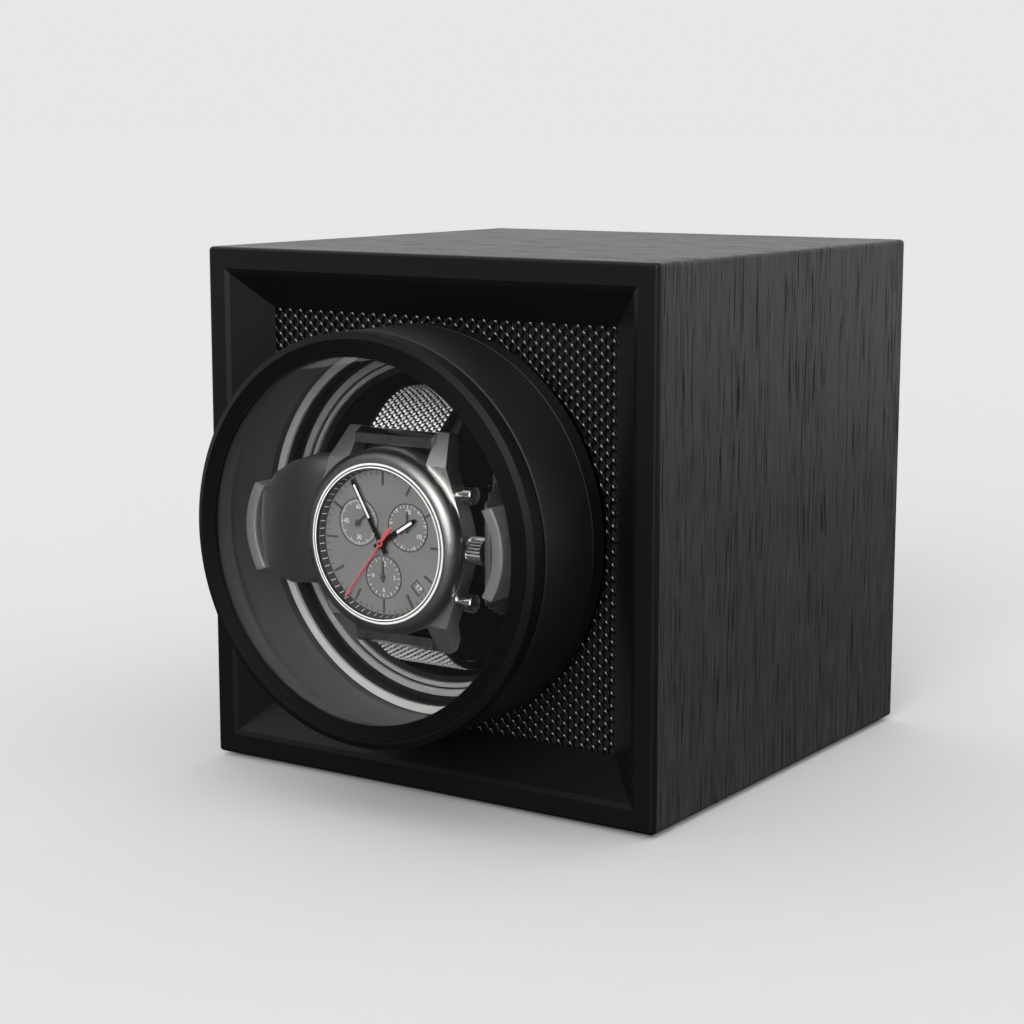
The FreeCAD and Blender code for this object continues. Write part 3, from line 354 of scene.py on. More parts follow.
# %% Black stained veneer
def stained_veneer(name, along, gloss, dullness):
    """Open-pored veneer, stained black, with its grain along the given axis."""
    material, tree, shader = start_finish(name, {"IOR": 1.5, "Specular IOR Level": gloss})
    place = node(tree, "TexCoord", {}).outputs["Object"]
    sway = node(tree, "TexNoise", {"Vector": place, "Scale": 28.0, "Detail": 1.0}).outputs["Color"]
    bent = node(tree, "VectorMath", {0: sway, 1: [2 * MM] * 3, 2: place}, operation="MULTIPLY_ADD").outputs[0]
    over = (1, 1, 0) if along == "Z" else (0, 1, 1)
    across = node(tree, "VectorMath", {0: bent, 1: over}, operation="DOT_PRODUCT").outputs["Value"]
    lengthwise = node(tree, "SeparateXYZ", {0: bent}).outputs[along]
    laid = node(tree, "CombineXYZ", {"X": across, "Y": lengthwise}).outputs[0]

    def stretched(across_mm, along_mm):
        scale = (1 / (across_mm * MM), 1 / (along_mm * MM), 1)
        return node(tree, "VectorMath", {0: laid, 1: scale}, operation="MULTIPLY").outputs[0]

    def long_noise(across_mm, along_mm, detail):
        sockets = {"Vector": stretched(across_mm, along_mm), "Scale": 1.0, "Detail": detail}
        return node(tree, "TexNoise", sockets, noise_dimensions="2D").outputs["Fac"]

    bands = long_noise(3.2, 160.0, 2.0)
    crowd = ramp(tree, bands, 0.42, 0.56)
    dashes = ramp(tree, long_noise(0.55, 17.0, 1.0), 0.6, 0.7, 0.0, 0.9)
    furrow = maths(tree, "MULTIPLY", dashes, crowd)
    for across_mm, along_mm, reach, depth in ((2.0, 44.0, 0.15, 0.9), (1.0, 20.0, 0.18, 0.55)):
        cell = node(tree, "TexVoronoi", {"Vector": stretched(across_mm, along_mm), "Scale": 1.0},
                    voronoi_dimensions="2D").outputs["Distance"]
        width = ramp(tree, bands, 0.35, 0.65, reach * 0.15, reach)
        stroke = ramp(tree, cell, 0.0, width, depth, 0.0, interpolation_type="SMOOTHSTEP")
        furrow = maths(tree, "MAXIMUM", furrow, stroke)
    fibre = long_noise(0.45, 14.0, 2.0)
    board = mixed(tree, ramp(tree, fibre, 0.3, 0.7), linear("#2a2a29"), linear("#434341"))
    tree.links.new(mixed(tree, furrow, board, linear("#070707")), shader.inputs["Base Color"])
    tree.links.new(ramp(tree, furrow, 0.0, 1.0, dullness, 0.95), shader.inputs["Roughness"])
    sunk = ramp(tree, furrow, 0.0, 1.0, 1.0, 0.0)
    height = maths(tree, "MULTIPLY_ADD", fibre, 0.08, sunk)
    relief = node(tree, "Bump", {"Height": height, "Strength": 1.0, "Distance": 0.18 * MM}).outputs[0]
    tree.links.new(relief, shader.inputs["Normal"])
    return material


finishes["veneer_upright"] = stained_veneer("black_stained_ash_upright", "Z", 0.24, 0.42)
finishes["veneer_level"] = stained_veneer("black_stained_ash_level", "X", 0.78, 0.46)
print("single pores in two sizes, 2 and 1 mm apart across the grain")

# %% [markdown]
# The front frame is sprayed with satin black lacquer, whose fine orange peel breaks up the reflections. The
# drum is moulded in black ABS with a slightly softer sheen. The boards behind are plain black fibreboard,
# and the feet and the seal are rubber. All four are nearly black, so their gloss and grain tell them apart
# more than their colour does. The knob and the button at the back are grey, to be found by eye. The inside
# of the drum and of its cover is painted dark grey, which a test on distance from the axis and on depth
# draws. In the barrel that paint goes up to the front edge.

# %% Black finishes
finishes["lacquer"] = grained("satin_black_lacquer", ("#0e0e0e", "#131312"), (0.3, 0.38), 0.35, bump_mm=0.006,
                              sockets={"Specular IOR Level": 0.25})
finishes["moulding"] = grained("satin_black_abs", ("#0e0e0e", "#151515"), (0.3, 0.38), 0.4, bump_mm=0.004)
finishes["turned_moulding"] = grained("turned_black_abs", ("#0b0b0b", "#131313"), (0.42, 0.52), (30, 1, 0.25),
                                      bump_mm=0.004, centre=drum_axis, reach_mm=40,
                                      sockets={"Specular IOR Level": 0.16})
finishes["lined_moulding"] = grained("lined_black_abs", ("#121212", "#191919"), (0.42, 0.52), 0.4,
                                     bump_mm=0.004)
ahead_of_drum = front_y - 40 * MM
lined = {"lined_moulding": (43.6, ahead_of_drum), "turned_moulding": (41.6, lens_y)}
for name, (radius_mm, from_y) in lined.items():
    tree = finishes[name].node_tree
    depth = node(tree, "SeparateXYZ", {0: node(tree, "TexCoord", {}).outputs["Object"]}).outputs["Y"]
    ahead = maths(tree, "LESS_THAN", depth, from_y)
    unpainted = maths(tree, "MAXIMUM", beyond(tree, drum_axis, radius_mm), ahead)
    repaint(finishes[name], unpainted, "#515150")
finishes["fibreboard"] = grained("black_fibreboard", ("#070707", "#0e0e0d"), (0.75, 0.9), 0.6, bump_mm=0.03)
finishes["control"] = grained("grey_control_plastic", ("#3e3e3d", "#4a4a49"), (0.4, 0.5), 0.3, bump_mm=0.006)
finishes["rubber"] = grained("black_rubber", ("#0c0c0c", "#141414"), (0.55, 0.7), 0.3, bump_mm=0.01)
print("finishes so far:", len(finishes))

# %% [markdown]
# Metals come next. A metal keeps the default IOR, and its colour is what it reflects. Plated, cast, spun
# and brushed metals differ in grain: a brushed one has long scratches along the stroke, a turned one has
# them round its centre. The drum's three rings are only painted silver. The outermost gets a paler colour:
# painted light, which stands for the brighter light that it catches.

# %% Plated, cast and turned metals
finishes["zinc"] = grained("zinc_plated_steel", ("#9a9c9f", "#b6b8ba"), (0.28, 0.42), 0.8, sockets=METAL)
finishes["bronze"] = grained("sintered_bronze", ("#9c7440", "#b88c54"), (0.35, 0.5), 0.3, bump_mm=0.01,
                             sockets=METAL)
finishes["motor_can"] = grained("drawn_steel_can", ("#84878a", "#a2a5a8"), (0.3, 0.4), (0.2, 6, 0.2),
                                sockets=METAL)
finishes["spring"] = grained("blued_spring_steel", ("#3c4250", "#5a6070"), (0.25, 0.35), (6, 0.2, 0.2),
                             sockets=METAL)
finishes["silver"] = grained("silver_lacquer", ("#868684", "#929290"), (0.4, 0.5), (25, 1, 0.12),
                             centre=drum_axis, reach_mm=40, sockets={"Metallic": 0.1})
# The outermost ring's paler colour is painted light, for the brighter light that it catches.
outermost = beyond(finishes["silver"].node_tree, drum_axis, 40.2)
repaint(finishes["silver"], outermost, "#b6b6b4", where=1)
finishes["trim"] = grained("satin_anodised_aluminium", ("#646462", "#747472"), (0.42, 0.52), (25, 1, 0.12),
                           bump_mm=0.002, centre=drum_axis, reach_mm=40, sockets={"Metallic": 0.4})
finishes["wire"] = grained("black_nickel_wire", ("#5c5c5b", "#747473"), (0.22, 0.3), 0.5, sockets=METAL)
print("finishes so far:", len(finishes))

# %% [markdown]
# The watch is stainless steel. Its sides and lugs are brushed lengthwise, its bezel is brushed round the
# dial, and the crown and pushers are polished. The bezel's narrow inner rim is smoother, and it is painted
# near-white and less metallic: a painted reflection of the bright surround that a polished rim mirrors.
# Mixing two finishes by the distance from the watch's axis draws that rim without cutting the ring in two.

# %% Watch metals
finishes["case_steel"] = grained("brushed_stainless_steel", ("#c4c4c2", "#d0d0ce"), (0.27, 0.34),
                                 (0.12, 0.12, 5.0), sockets=METAL)
finishes["polished"] = grained("polished_stainless_steel", ("#c2c2c0", "#d2d2d0"), (0.07, 0.13), 0.8,
                               sockets=METAL)
finishes["bracelet"] = grained("bracelet_wire_steel", ("#e6e6e4", "#f2f2f0"), (0.24, 0.34), 0.4,
                               sockets={"Metallic": 0.3})
finishes["bracelet_core"] = grained("bracelet_core_steel", ("#3a3a3a", "#565655"), (0.35, 0.5), 0.5,
                                    bump_mm=0.05, sockets=METAL)


def bezel_with_painted_rim(name, painted_rim_mm):
    """Steel brushed round the watch, with a smooth rim inside the given radius that is a painted reflection.
    """
    material = grained(name, ("#848483", "#8e8e8c"), (0.31, 0.36), (12, 1, 0.06), centre=watch, reach_mm=20,
                       sockets=METAL)
    tree = material.node_tree
    shader = tree.nodes["Principled BSDF"]
    brushed = beyond(tree, watch, painted_rim_mm)
    scratches = shader.inputs["Roughness"].links[0].from_socket
    dull = node(tree, "Mix", {0: brushed, 2: 0.3, 3: scratches}, data_type="FLOAT").outputs[0]
    tree.links.new(dull, shader.inputs["Roughness"])
    # Inside the rim the steel is near-white and less metallic: a painted reflection of a bright surround.
    repaint(material, brushed, "#f4f4f2")
    tree.links.new(ramp(tree, brushed, 0.0, 1.0, 0.25, 1.0), shader.inputs["Metallic"])
    return material


bezel_painted_rim_mm = 17.45
finishes["bezel"] = bezel_with_painted_rim("circular_brushed_steel", bezel_painted_rim_mm)
print("bezel rim pale inside a radius of", bezel_painted_rim_mm, "mm")

# %% [markdown]
# The dial is a grey plate brushed outwards from its middle, so light fans over it like a sun. Its markers
# and small hands are dark nickel, the long hands are lacquered black, the chronograph hand is red, and the
# print and the light-storing inserts are white. Inside the case, hardly seen but still there, are a green
# circuit board, white acetal gears and sleeved cells.

# %% Finishes of the dial and inside the case
finishes["dial"] = grained("sunray_grey_dial", ("#70706e", "#828280"), (0.38, 0.5), (0.25, 1, 20),
                           centre=watch, reach_mm=16, sockets={"Metallic": 0.35})
plain_finishes = {
    "flange": ("dark_grey_flange", ("#2a2a2a", "#353534"), (0.4, 0.5), 0.3),
    "marker": ("black_nickel", ("#3a3a39", "#464645"), (0.26, 0.36), 0.4),
    "hand_black": ("black_hand_lacquer", ("#0a0a0a", "#121212"), (0.2, 0.3), 0.4),
    "hand_red": ("red_hand_lacquer", ("#ae484a", "#be5658"), (0.3, 0.4), 0.4),
    "white_print": ("white_pad_print", ("#d2d2d0", "#e2e2e0"), (0.5, 0.6), 0.2),
    # A near-white finish for the crystal's edge: a painted highlight.
    "ground_glass": ("ground_crystal_edge", ("#dcdcda", "#eaeae8"), (0.35, 0.45), 0.2),
    "dark_print": ("dark_pad_print", ("#1c1c1c", "#262626"), (0.5, 0.6), 0.2),
    "acetal": ("white_acetal", ("#d4d3cc", "#e0dfd8"), (0.35, 0.45), 0.5),
    "circuit": ("solder_mask_green", ("#0f4a2c", "#176238"), (0.3, 0.4), 1.2),
    "cell": ("shrink_sleeve", ("#2b4a78", "#37588a"), (0.25, 0.4), (8, 0.6, 0.6)),
}
for name, recipe in plain_finishes.items():
    finishes[name] = grained(*recipe)
print("finishes so far:", len(finishes))

# %% [markdown]
# The cover's lens is clear acrylic and the watch has a sapphire crystal. A real pane lets lamp light
# through, but a path tracer's glass casts a dark shadow. So a shadow ray meets a transparent shader instead
# of the glass one. The crystal is coated against reflections, and a low index of refraction gives it the
# faint mirror image of a coated pane.

# %% Clear panes
def clear_pane(name, ior, smear_mm):
    """Clear glass or plastic that lets lamps through. A faint smear keeps the gloss from being even."""
    sockets = {"Base Color": (1, 1, 1, 1), "IOR": ior, "Transmission Weight": 1.0}
    material, tree, shader = start_finish(name, sockets)
    smear = grain_noise(tree, grain_coordinates(tree, smear_mm, None, 1.0))
    tree.links.new(ramp(tree, smear, 0.4, 0.8, 0.0, 0.02), shader.inputs["Roughness"])
    shadow = node(tree, "LightPath", {}).outputs["Is Shadow Ray"]
    open_air = node(tree, "BsdfTransparent", {"Color": (0.95, 0.95, 0.95, 1)}).outputs[0]
    pane = node(tree, "MixShader", {0: shadow, 1: shader.outputs[0], 2: open_air}).outputs[0]
    tree.links.new(pane, tree.nodes["Material Output"].inputs["Surface"])
    return material


finishes["acrylic"] = clear_pane("clear_acrylic", 1.49, 18)
finishes["sapphire"] = clear_pane("coated_sapphire_crystal", 1.2, 6)
print("panes: acrylic lens, sapphire crystal")

# %% [markdown]
# Each CAD node now gets its finish. The record's slots already say what a node is made of, so most nodes
# follow their slot, and a few follow their own name, such as the boards whose grain runs level.

# %% Dress the CAD nodes
by_slot = {
    "wood_veneer": "veneer_upright", "frame_lacquer": "lacquer", "mesh_wire": "wire",
    "black_board": "fibreboard", "black_rubber": "rubber", "zinc_steel": "zinc", "drum_black": "moulding",
    "bearing_bronze": "bronze", "motor_can": "motor_can", "circuit_green": "circuit", "cell_wrap": "cell",
    "trim_satin": "trim", "gear_acetal": "acetal", "clear_acrylic": "acrylic", "spring_steel": "spring",
    "case_steel": "case_steel", "bezel_steel": "bezel", "sapphire": "sapphire", "flange_dark": "flange",
    "dial_grey": "dial", "marker_dark": "marker", "mesh_steel": "bracelet_core", "hand_black": "hand_black",
    "hand_red": "hand_red", "polished_steel": "polished",
}
by_name = {
    "top_panel": "veneer_level", "bottom_panel": "veneer_level", "cover_ring": "turned_moulding",
    "strap_links": "polished", "drum_barrel": "lined_moulding", "drum_trim_rings": "silver",
    "watch_movement": "bracelet_core", "mode_knob": "control", "power_button": "control",
    "seconds_hand": "marker", "minute_counter_hand": "marker", "hour_counter_hand": "marker",
}
for name, cad in nodes.items():
    slot = cad.data.materials[0].name.split(".")[0]
    for place in cad.material_slots:
        place.material = finishes[by_name.get(name) or by_slot[slot]]
print("dressed", len(nodes), "CAD nodes")

# %% [markdown]
# The panel behind the drum is a mesh of bent wires, like a chain-link fence pressed flat. Every wire runs
# sideways in a wave. The crests of one wire hang in front of the troughs of the wire above it, so each wire
# also swings forwards at its crests and back at its troughs. One repeat is modelled, a wave of one wire and
# a wave of the next, half a step along. A flat ring of six points is extruded along each wave, and it keeps
# facing sideways. That makes the wire full at its crests and slim on its slopes, as a rolled mesh is. Two
# Array modifiers then lay the repeat out in columns and rows. Wires inside the round hole and behind the
# frame are deleted and their ends closed.

# %% One repeat of the mesh
panel_low, panel_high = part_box("mesh_panel")
panel_mid = (panel_low.y + panel_high.y) / 2
wire_deep, wire_tall = 0.7 * MM, 1.05 * MM
column, row = 3.0 * MM, 2.8 * MM
columns, rows = 33, 35
swing = row / 4 + 0.3 * MM
crimp = 0.3 * MM
steps_per_wave = 10


def waved_wire(start):
    """Extrude a flat ring along one wave, from crest to crest. Crests stand forwards and troughs back."""
    def point(step):
        wave = math.cos(2 * math.pi * step / steps_per_wave)
        return start + Vector((column * step / steps_per_wave, -crimp * wave, swing * wave))
    only(None)
    bpy.ops.mesh.primitive_circle_add(vertices=6, radius=0.5, location=point(0), rotation=(0, math.pi / 2, 0))
    edit(bpy.context.object)
    bpy.ops.transform.resize(value=(1, wire_deep, wire_tall), center_override=point(0))
    for step in range(steps_per_wave):
        bpy.ops.mesh.extrude_region_move(TRANSFORM_OT_translate={"value": point(step + 1) - point(step)})
    return only(bpy.context.object)


corner_place = Vector((-columns / 2 * column, panel_mid, drum_axis.z - rows / 2 * row))
first_wire = waved_wire(corner_place)
next_wire = waved_wire(corner_place + Vector((column / 2, 0, row / 2)))
weave = placed(joined([first_wire, next_wire]))
print("one repeat has", len(weave.data.polygons), "faces")

# %% Lay out the mesh and trim it
hole = min(math.hypot(v.co.x, v.co.z - drum_axis.z) for v in nodes["mesh_panel"].data.vertices)
reach = 47.6 * MM
for count, step in ((columns, (column, 0, 0)), (rows, (0, 0, row))):
    with_modifier(weave, "ARRAY", count=count, use_relative_offset=False, use_constant_offset=True,
                  constant_offset_displace=step)
edit(weave)
pick("verts", lambda at: math.hypot(at.x, at.z - drum_axis.z) < hole + wire_tall / 2
     or max(abs(at.x), abs(at.z - drum_axis.z)) > reach)
bpy.ops.mesh.delete(type="VERT")
merge(0.01)
bpy.ops.mesh.fill_holes(sides=0)
faces_out()
settle(weave, "woven_panel", "case", finishes["wire"], ["mesh_panel"], crisp=60)
print("hole radius", round(hole / MM, 2), "mm")

# %% [markdown]
# The bracelet is a steel mesh of interlocked flat coils. From outside, each turn of a coil shows as a short
# slanted bead of wire, in rows that are offset by half a step. One turn is a flattened ring with eight
# corners. A row of them is made, then the next row leaning the other way, and the pair is copied along the
# path of the strap: straight off the link, round the front corner, over the cuff, round the rear corner and
# down the back to the middle.

# %% The path of the bracelet
strap_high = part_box("watch_strap")[1]
link_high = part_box("strap_links")[1]
link_reach = 22.4 * MM
strap_thick = 1.6 * MM
corner = 16.0 * MM - strap_thick / 2
flat_top = 6.3 * MM
half_height = strap_high.z - watch.z - strap_thick / 2
rear = strap_high.y - strap_thick / 2
corner_z = half_height - corner
rear_centre = Vector((0, rear - corner, corner_z))
front_centre = rear_centre - Vector((0, flat_top, 0))
nose = Vector((0, link_high.y, link_reach))
away = nose - front_centre
lead = math.sqrt(away.length_squared - corner ** 2)
lead_angle = math.atan2(away.z, away.y) - math.acos(corner / away.length)
front_sweep = (lead_angle % (2 * math.pi)) - math.pi / 2
stretches = [lead, corner * front_sweep, flat_top, corner * math.pi / 2, corner_z]
path_length = sum(stretches)


def strap_place(distance):
    """Middle of the strap at a distance from the link, relative to the watch, and its outward angle."""
    turn = math.pi / 2 + front_sweep
    if distance < stretches[0]:
        foot = front_centre + corner * Vector((0, math.cos(turn), math.sin(turn)))
        return foot + (stretches[0] - distance) * Vector((0, -math.sin(turn), math.cos(turn))), turn
    distance -= stretches[0]
    if distance < stretches[1]:
        turn -= distance / corner
        return front_centre + corner * Vector((0, math.cos(turn), math.sin(turn))), turn
    distance -= stretches[1]
    if distance < stretches[2]:
        return front_centre + Vector((0, distance, corner)), math.pi / 2
    distance -= stretches[2]
    if distance < stretches[3]:
        turn = math.pi / 2 - distance / corner
        return rear_centre + corner * Vector((0, math.cos(turn), math.sin(turn))), turn
    return rear_centre + Vector((0, corner, stretches[3] - distance)), 0.0


print("half the bracelet is", round(path_length / MM, 1), "mm long")

# %% One row pair of coil turns
turns_across = 10
turn_step = 1.94 * MM
row_step = 0.72 * MM
turn_wire = 0.34 * MM
turn_length = 0.58 * MM
turn_height = 1.14 * MM
turn_lean = math.radians(28)
only(None)
bpy.ops.mesh.primitive_torus_add(major_segments=8, minor_segments=5, major_radius=turn_length,
                                 minor_radius=turn_wire, rotation=(0, math.pi / 2, 0))
coil_turn = placed(bpy.context.object)
edit(coil_turn)
bpy.ops.transform.resize(value=(1.25, 1, turn_height / (turn_length + turn_wire)))
coil_turn = only(coil_turn)


def coil_row(shift, lean, distance):
    """A row of turns across the strap, moved along it and leaning to one side."""
    first = -(turns_across - 1) / 2 * turn_step + shift
    tilt = Matrix.Rotation(lean, 4, "Z")
    count = turns_across if shift == 0 else turns_across - 1
    return [copy_of(coil_turn, Matrix.Translation((first + index * turn_step, distance, 0)) @ tilt)
            for index in range(count)]


row_pair = placed(joined(coil_row(0, turn_lean, 0) + coil_row(turn_step / 2, -turn_lean, row_step)))
bpy.data.objects.remove(coil_turn)
print("a row pair has", len(row_pair.data.polygons), "faces")

# %% Lay the rows along the strap
pairs = int((path_length - row_step) // (2 * row_step))
upper_rows = []
for index in range(pairs):
    spot, turn = strap_place(turn_length + index * 2 * row_step)
    tilt = Matrix.Rotation(turn - math.pi / 2, 4, "X")
    place = Matrix.Translation(watch + Vector((0, spot.y - watch.y, spot.z)))
    upper_rows.append(copy_of(row_pair, place @ tilt))
upper = placed(joined(upper_rows))
lower = copy_of(upper)
edit(lower)
bpy.ops.transform.resize(value=(1, 1, -1), center_override=watch)
faces_out()
bpy.data.objects.remove(row_pair)
bracelet = joined([upper, lower])
settle(bracelet, "bracelet_coils", "holder", finishes["bracelet"], crisp=70)
print(2 * pairs, "row pairs along the bracelet")

# %% [markdown]
# Two soft pads sit beside the watch. They are skinned foam, so their edges are full and rounded and their
# faces crown slightly. A copy of the CAD form is merged and remeshed at a fine voxel size, and smoothing
# then relaxes its edges as foam does under its skin. Smoothing shrinks the pad, so it is stretched back to
# its old box, and forwards until its crest is nearly level with the tabs. The pockets for crown and pushers
# stay.

# %% Skinned foam pads
finishes["foam"] = grained("skinned_foam", ("#2e2e2d", "#383837"), (0.45, 0.55), 0.7, bump_mm=0.004)
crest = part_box("cuff_cheeks")[0].y + 0.3 * MM
for side, voxel_mm, rounding in (("left", 0.9, 130), ("right", 0.6, 16)):
    source = "cuff_bolster_" + side
    pad = merged_copy(source)
    with_modifier(pad, "REMESH", mode="VOXEL", voxel_size=voxel_mm * MM)
    with_modifier(pad, "SMOOTH", factor=0.5, iterations=rounding)
    with_modifier(pad, "SUBSURF", levels=1, render_levels=1)
    low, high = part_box(source)
    low.y = crest
    least = Vector(min(v.co[axis] for v in pad.data.vertices) for axis in range(3))
    most = Vector(max(v.co[axis] for v in pad.data.vertices) for axis in range(3))
    fuller = [(high[axis] - low[axis]) / (most[axis] - least[axis]) for axis in range(3)]
    edit(pad)
    bpy.ops.transform.resize(value=fuller, center_override=(least + most) / 2)
    bpy.ops.transform.translate(value=(low + high - least - most) / 2)
    only(pad)
    print("pad stretched by", [round(part, 3) for part in fuller])
    settle(pad, "foam_pad_" + side, "holder", finishes["foam"], [source], crisp=80)

# %% [markdown]
# Light curved cheeks hold the ends of the cuff along the drum's wall, and stand forward as finger tabs. A
# cross-section is spun round the drum's axis over a short arc. Scaling the arc sideways, with the pivot at
# its middle, curls its ends off the wall and into the foam. A Bevel modifier takes the sharpness off the
# edges. The second cheek is the first, turned half way round.

# %% Curved cheeks
cheek_low, cheek_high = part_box("cuff_cheeks")
cheek_thick = 2.8 * MM
curl = 2.0
cheek_outer = cheek_high.x
half_angle = math.asin((cheek_high.z - drum_axis.z) / cheek_outer)
middle = Vector((cheek_outer - cheek_thick / 2, (cheek_low.y + cheek_high.y) / 2, drum_axis.z))
cheek = plate(cheek_thick, cheek_high.y - cheek_low.y, middle, tilt=0)
turned(half_angle, drum_axis)
bpy.ops.mesh.spin(steps=16, angle=2 * half_angle, center=drum_axis, axis=(0, 1, 0))
merge()
faces_out()
for from_axis in (cheek_outer - cheek_thick, cheek_outer):
    pick("verts", lambda at: abs(math.hypot(at.x, at.z - drum_axis.z) - from_axis) < cheek_thick / 2)
    bpy.ops.transform.resize(value=(curl, 1, 1), center_override=(from_axis, middle.y, drum_axis.z))
only(cheek)
heights = [round((v.co.z - drum_axis.z) / MM, 1) for v in cheek.data.vertices]
print("cheek from", min(heights), "to", max(heights), "mm")

# %% Round the cheeks
with_modifier(cheek, "BEVEL", width=0.4 * MM, segments=3, limit_method="ANGLE")
half_turn = Matrix.Translation(drum_axis) @ Matrix.Rotation(math.pi, 4, "Y") @ Matrix.Translation(-drum_axis)
cheeks = joined([cheek, copy_of(cheek, half_turn)])
settle(cheeks, "cuff_cheek_tabs", "holder", finishes["trim"], ["cuff_cheeks"])

# %% [markdown]
# A bowed leaf spring holds the jaw of the cuff up. When the jaw is squeezed, the real leaf flattens: its
# feet stay on the bar, and its crown goes down with the jaw. A rigid leaf would poke through the jaw. A
# merged copy of the CAD leaf stands for it. It rides on no body, and its place is put into its mesh.

# %% Leaf spring
leaf = merged_copy("jaw_spring")
settle(leaf, "leaf_spring", None, finishes["spring"], ["jaw_spring"])
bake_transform(leaf)

# %% [markdown]
# Print on the dial comes from one thin tick, spun into a full circle as duplicates. The minute track lies
# on the sloped flange, with a short tick for each minute. Each small dial has its own ring of ticks and a
# few plain numbers.

# %% Rings of ticks
print_height = 0.03 * MM


def tick_ring(centre, count, inner_mm, outer_mm, width_mm, surface_y):
    """A ring of printed ticks round a centre, standing a hair above a surface."""
    length = (outer_mm - inner_mm) * MM
    ticks = plate(width_mm * MM, length, (centre.x, surface_y, centre.z + inner_mm * MM + length / 2))
    forwards(print_height)
    pivot = (centre.x, surface_y, centre.z)
    bpy.ops.mesh.spin(steps=count, dupli=True, angle=2 * math.pi, center=pivot, axis=(0, 1, 0))
    merge()
    faces_out()
    return only(ticks)


flange_rise, flange_run = 1.8 * MM, 0.6 * MM
track_inner_mm, track_outer_mm = 15.9, 16.3
minute_track = tick_ring(watch, 60, 14.75, 15.6, 0.14, dial_y)
flange_track = tick_ring(watch, 60, track_inner_mm, track_outer_mm, 0.16, dial_y - flange_rise / 2)
print("minute track has", len(minute_track.data.polygons), "faces")

# %% Minute track
edit(flange_track)
track_middle = (track_inner_mm + track_outer_mm) / 2 * MM
for radius in (track_inner_mm * MM, track_outer_mm * MM):
    pick("verts", lambda at: abs(math.hypot(at.x - watch.x, at.z - watch.z) - radius) < 0.1 * MM)
    bpy.ops.transform.translate(value=(0, (track_middle - radius) * flange_rise / flange_run, 0))
settle(flange_track, "flange_ticks", "holder", finishes["white_print"])
settle(minute_track, "minute_track", "holder", finishes["dark_print"])

# %% [markdown]
# A thin near-white ring at the crystal's edge is a painted highlight: it stands for the light that the edge
# catches, a second thin bright ring inside the bezel's rim. It is a circle, extruded once outwards by scaling
# and once forwards for its thickness.

# %% Painted highlight on the crystal's edge
crystal_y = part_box("watch_crystal")[0].y
edge_inner, edge_outer = 16.45 * MM, 16.75 * MM
only(None)
bpy.ops.mesh.primitive_circle_add(vertices=96, radius=edge_inner, location=(watch.x, crystal_y, watch.z),
                                  rotation=(math.pi / 2, 0, 0))
edge_highlight_ring = placed(bpy.context.object)
edit(edge_highlight_ring)
bpy.ops.mesh.extrude_region_move()
bpy.ops.transform.resize(value=[edge_outer / edge_inner] * 3, center_override=(watch.x, crystal_y, watch.z))
bpy.ops.mesh.select_all(action="SELECT")
forwards(print_height)
faces_out()
settle(edge_highlight_ring, "crystal_ground_edge", "holder", finishes["ground_glass"])

# %% [markdown]
# Numbers are Text objects, the natural tool for print. A Text object is turned into a mesh before its place
# is applied, given a little thickness, and joined with the ticks of its small dial.

# %% Plain numbers
def number(text, centre, size_mm, surface_y, turn=0.0):
    """A printed number, middle at the given place, facing the front."""
    only(None)
    bpy.ops.object.text_add(location=(centre.x, surface_y, centre.z), rotation=(math.pi / 2, 0, 0))
    word = bpy.context.object
    word.data.body = text
    word.data.size = size_mm * MM
    word.data.align_x = "CENTER"
    word.data.align_y = "CENTER"
    word.data.extrude = print_height
    word.data.resolution_u = 3
    bpy.ops.object.convert(target="MESH")
    word = placed(bpy.context.object)
    edit(word)
    merge(0.0005)
    turned(turn, (centre.x, surface_y, centre.z))
    return only(word)


def on_dial(distance_mm, clock_degrees, middle=watch):
    """A place at a distance from a middle, at an angle counted clockwise from twelve."""
    angle = math.radians(clock_degrees)
    return middle + distance_mm * MM * Vector((math.sin(angle), 0, math.cos(angle)))


small_dials = {
    "seconds": (joint_at["small_seconds_turn"], 5.3, 60, ("60", "15", "30", "45")),
    "minutes": (joint_at["minute_counter_turn"], 5.3, 30, ("30", "10", "20")),
    "hours": (joint_at["hour_counter_turn"], 4.8, 24, ("12", "3", "6", "9")),
}
for name, (centre, radius, ticks, words) in small_dials.items():
    print_parts = [tick_ring(centre, ticks, radius - 0.85, radius - 0.35, 0.1, dial_y),
                   tick_ring(centre, len(words) * 3, radius - 1.15, radius - 0.35, 0.16, dial_y)]
    for index, word in enumerate(words):
        spot = on_dial(radius - 1.95, index * 360 / len(words), centre)
        print_parts.append(number(word, spot, 1.45, dial_y))
    settle(joined(print_parts), "small_dial_print_" + name, "holder", finishes["white_print"])

# %% [markdown]
# The date shows through a small window as a white number, with a thin dark frame round the window. The
# window is cut in the CAD dial, so the number lies on its floor. The frame is a rectangle, inset, with its
# middle face deleted.

# %% Date window
date_spot = on_dial(12.8, 135)
date_turn = math.radians(45)
window_depth = 0.3 * MM
frame_wide, frame_tall = 3.0 * MM, 2.4 * MM
frame_line, frame_height = 0.2 * MM, 0.06 * MM
digits = number("17", date_spot, 1.7, dial_y + window_depth, date_turn)
settle(digits, "date_number", "holder", finishes["white_print"])
pivot = (date_spot.x, dial_y, date_spot.z)
surround = plate(frame_wide, frame_tall, pivot)
bpy.ops.mesh.inset(thickness=frame_line)
bpy.ops.mesh.delete(type="FACE")
bpy.ops.mesh.select_all(action="SELECT")
forwards(frame_height)
faces_out()
turned(date_turn, pivot)
settle(surround, "date_surround", "holder", finishes["marker"])

# %% [markdown]
# The two long hands carry white inserts that glow in the dark, and the red hand has a plain bar as its
# counterweight. Each is a strip with bevelled front edges. It is made upright and turned to where its hand
# points.

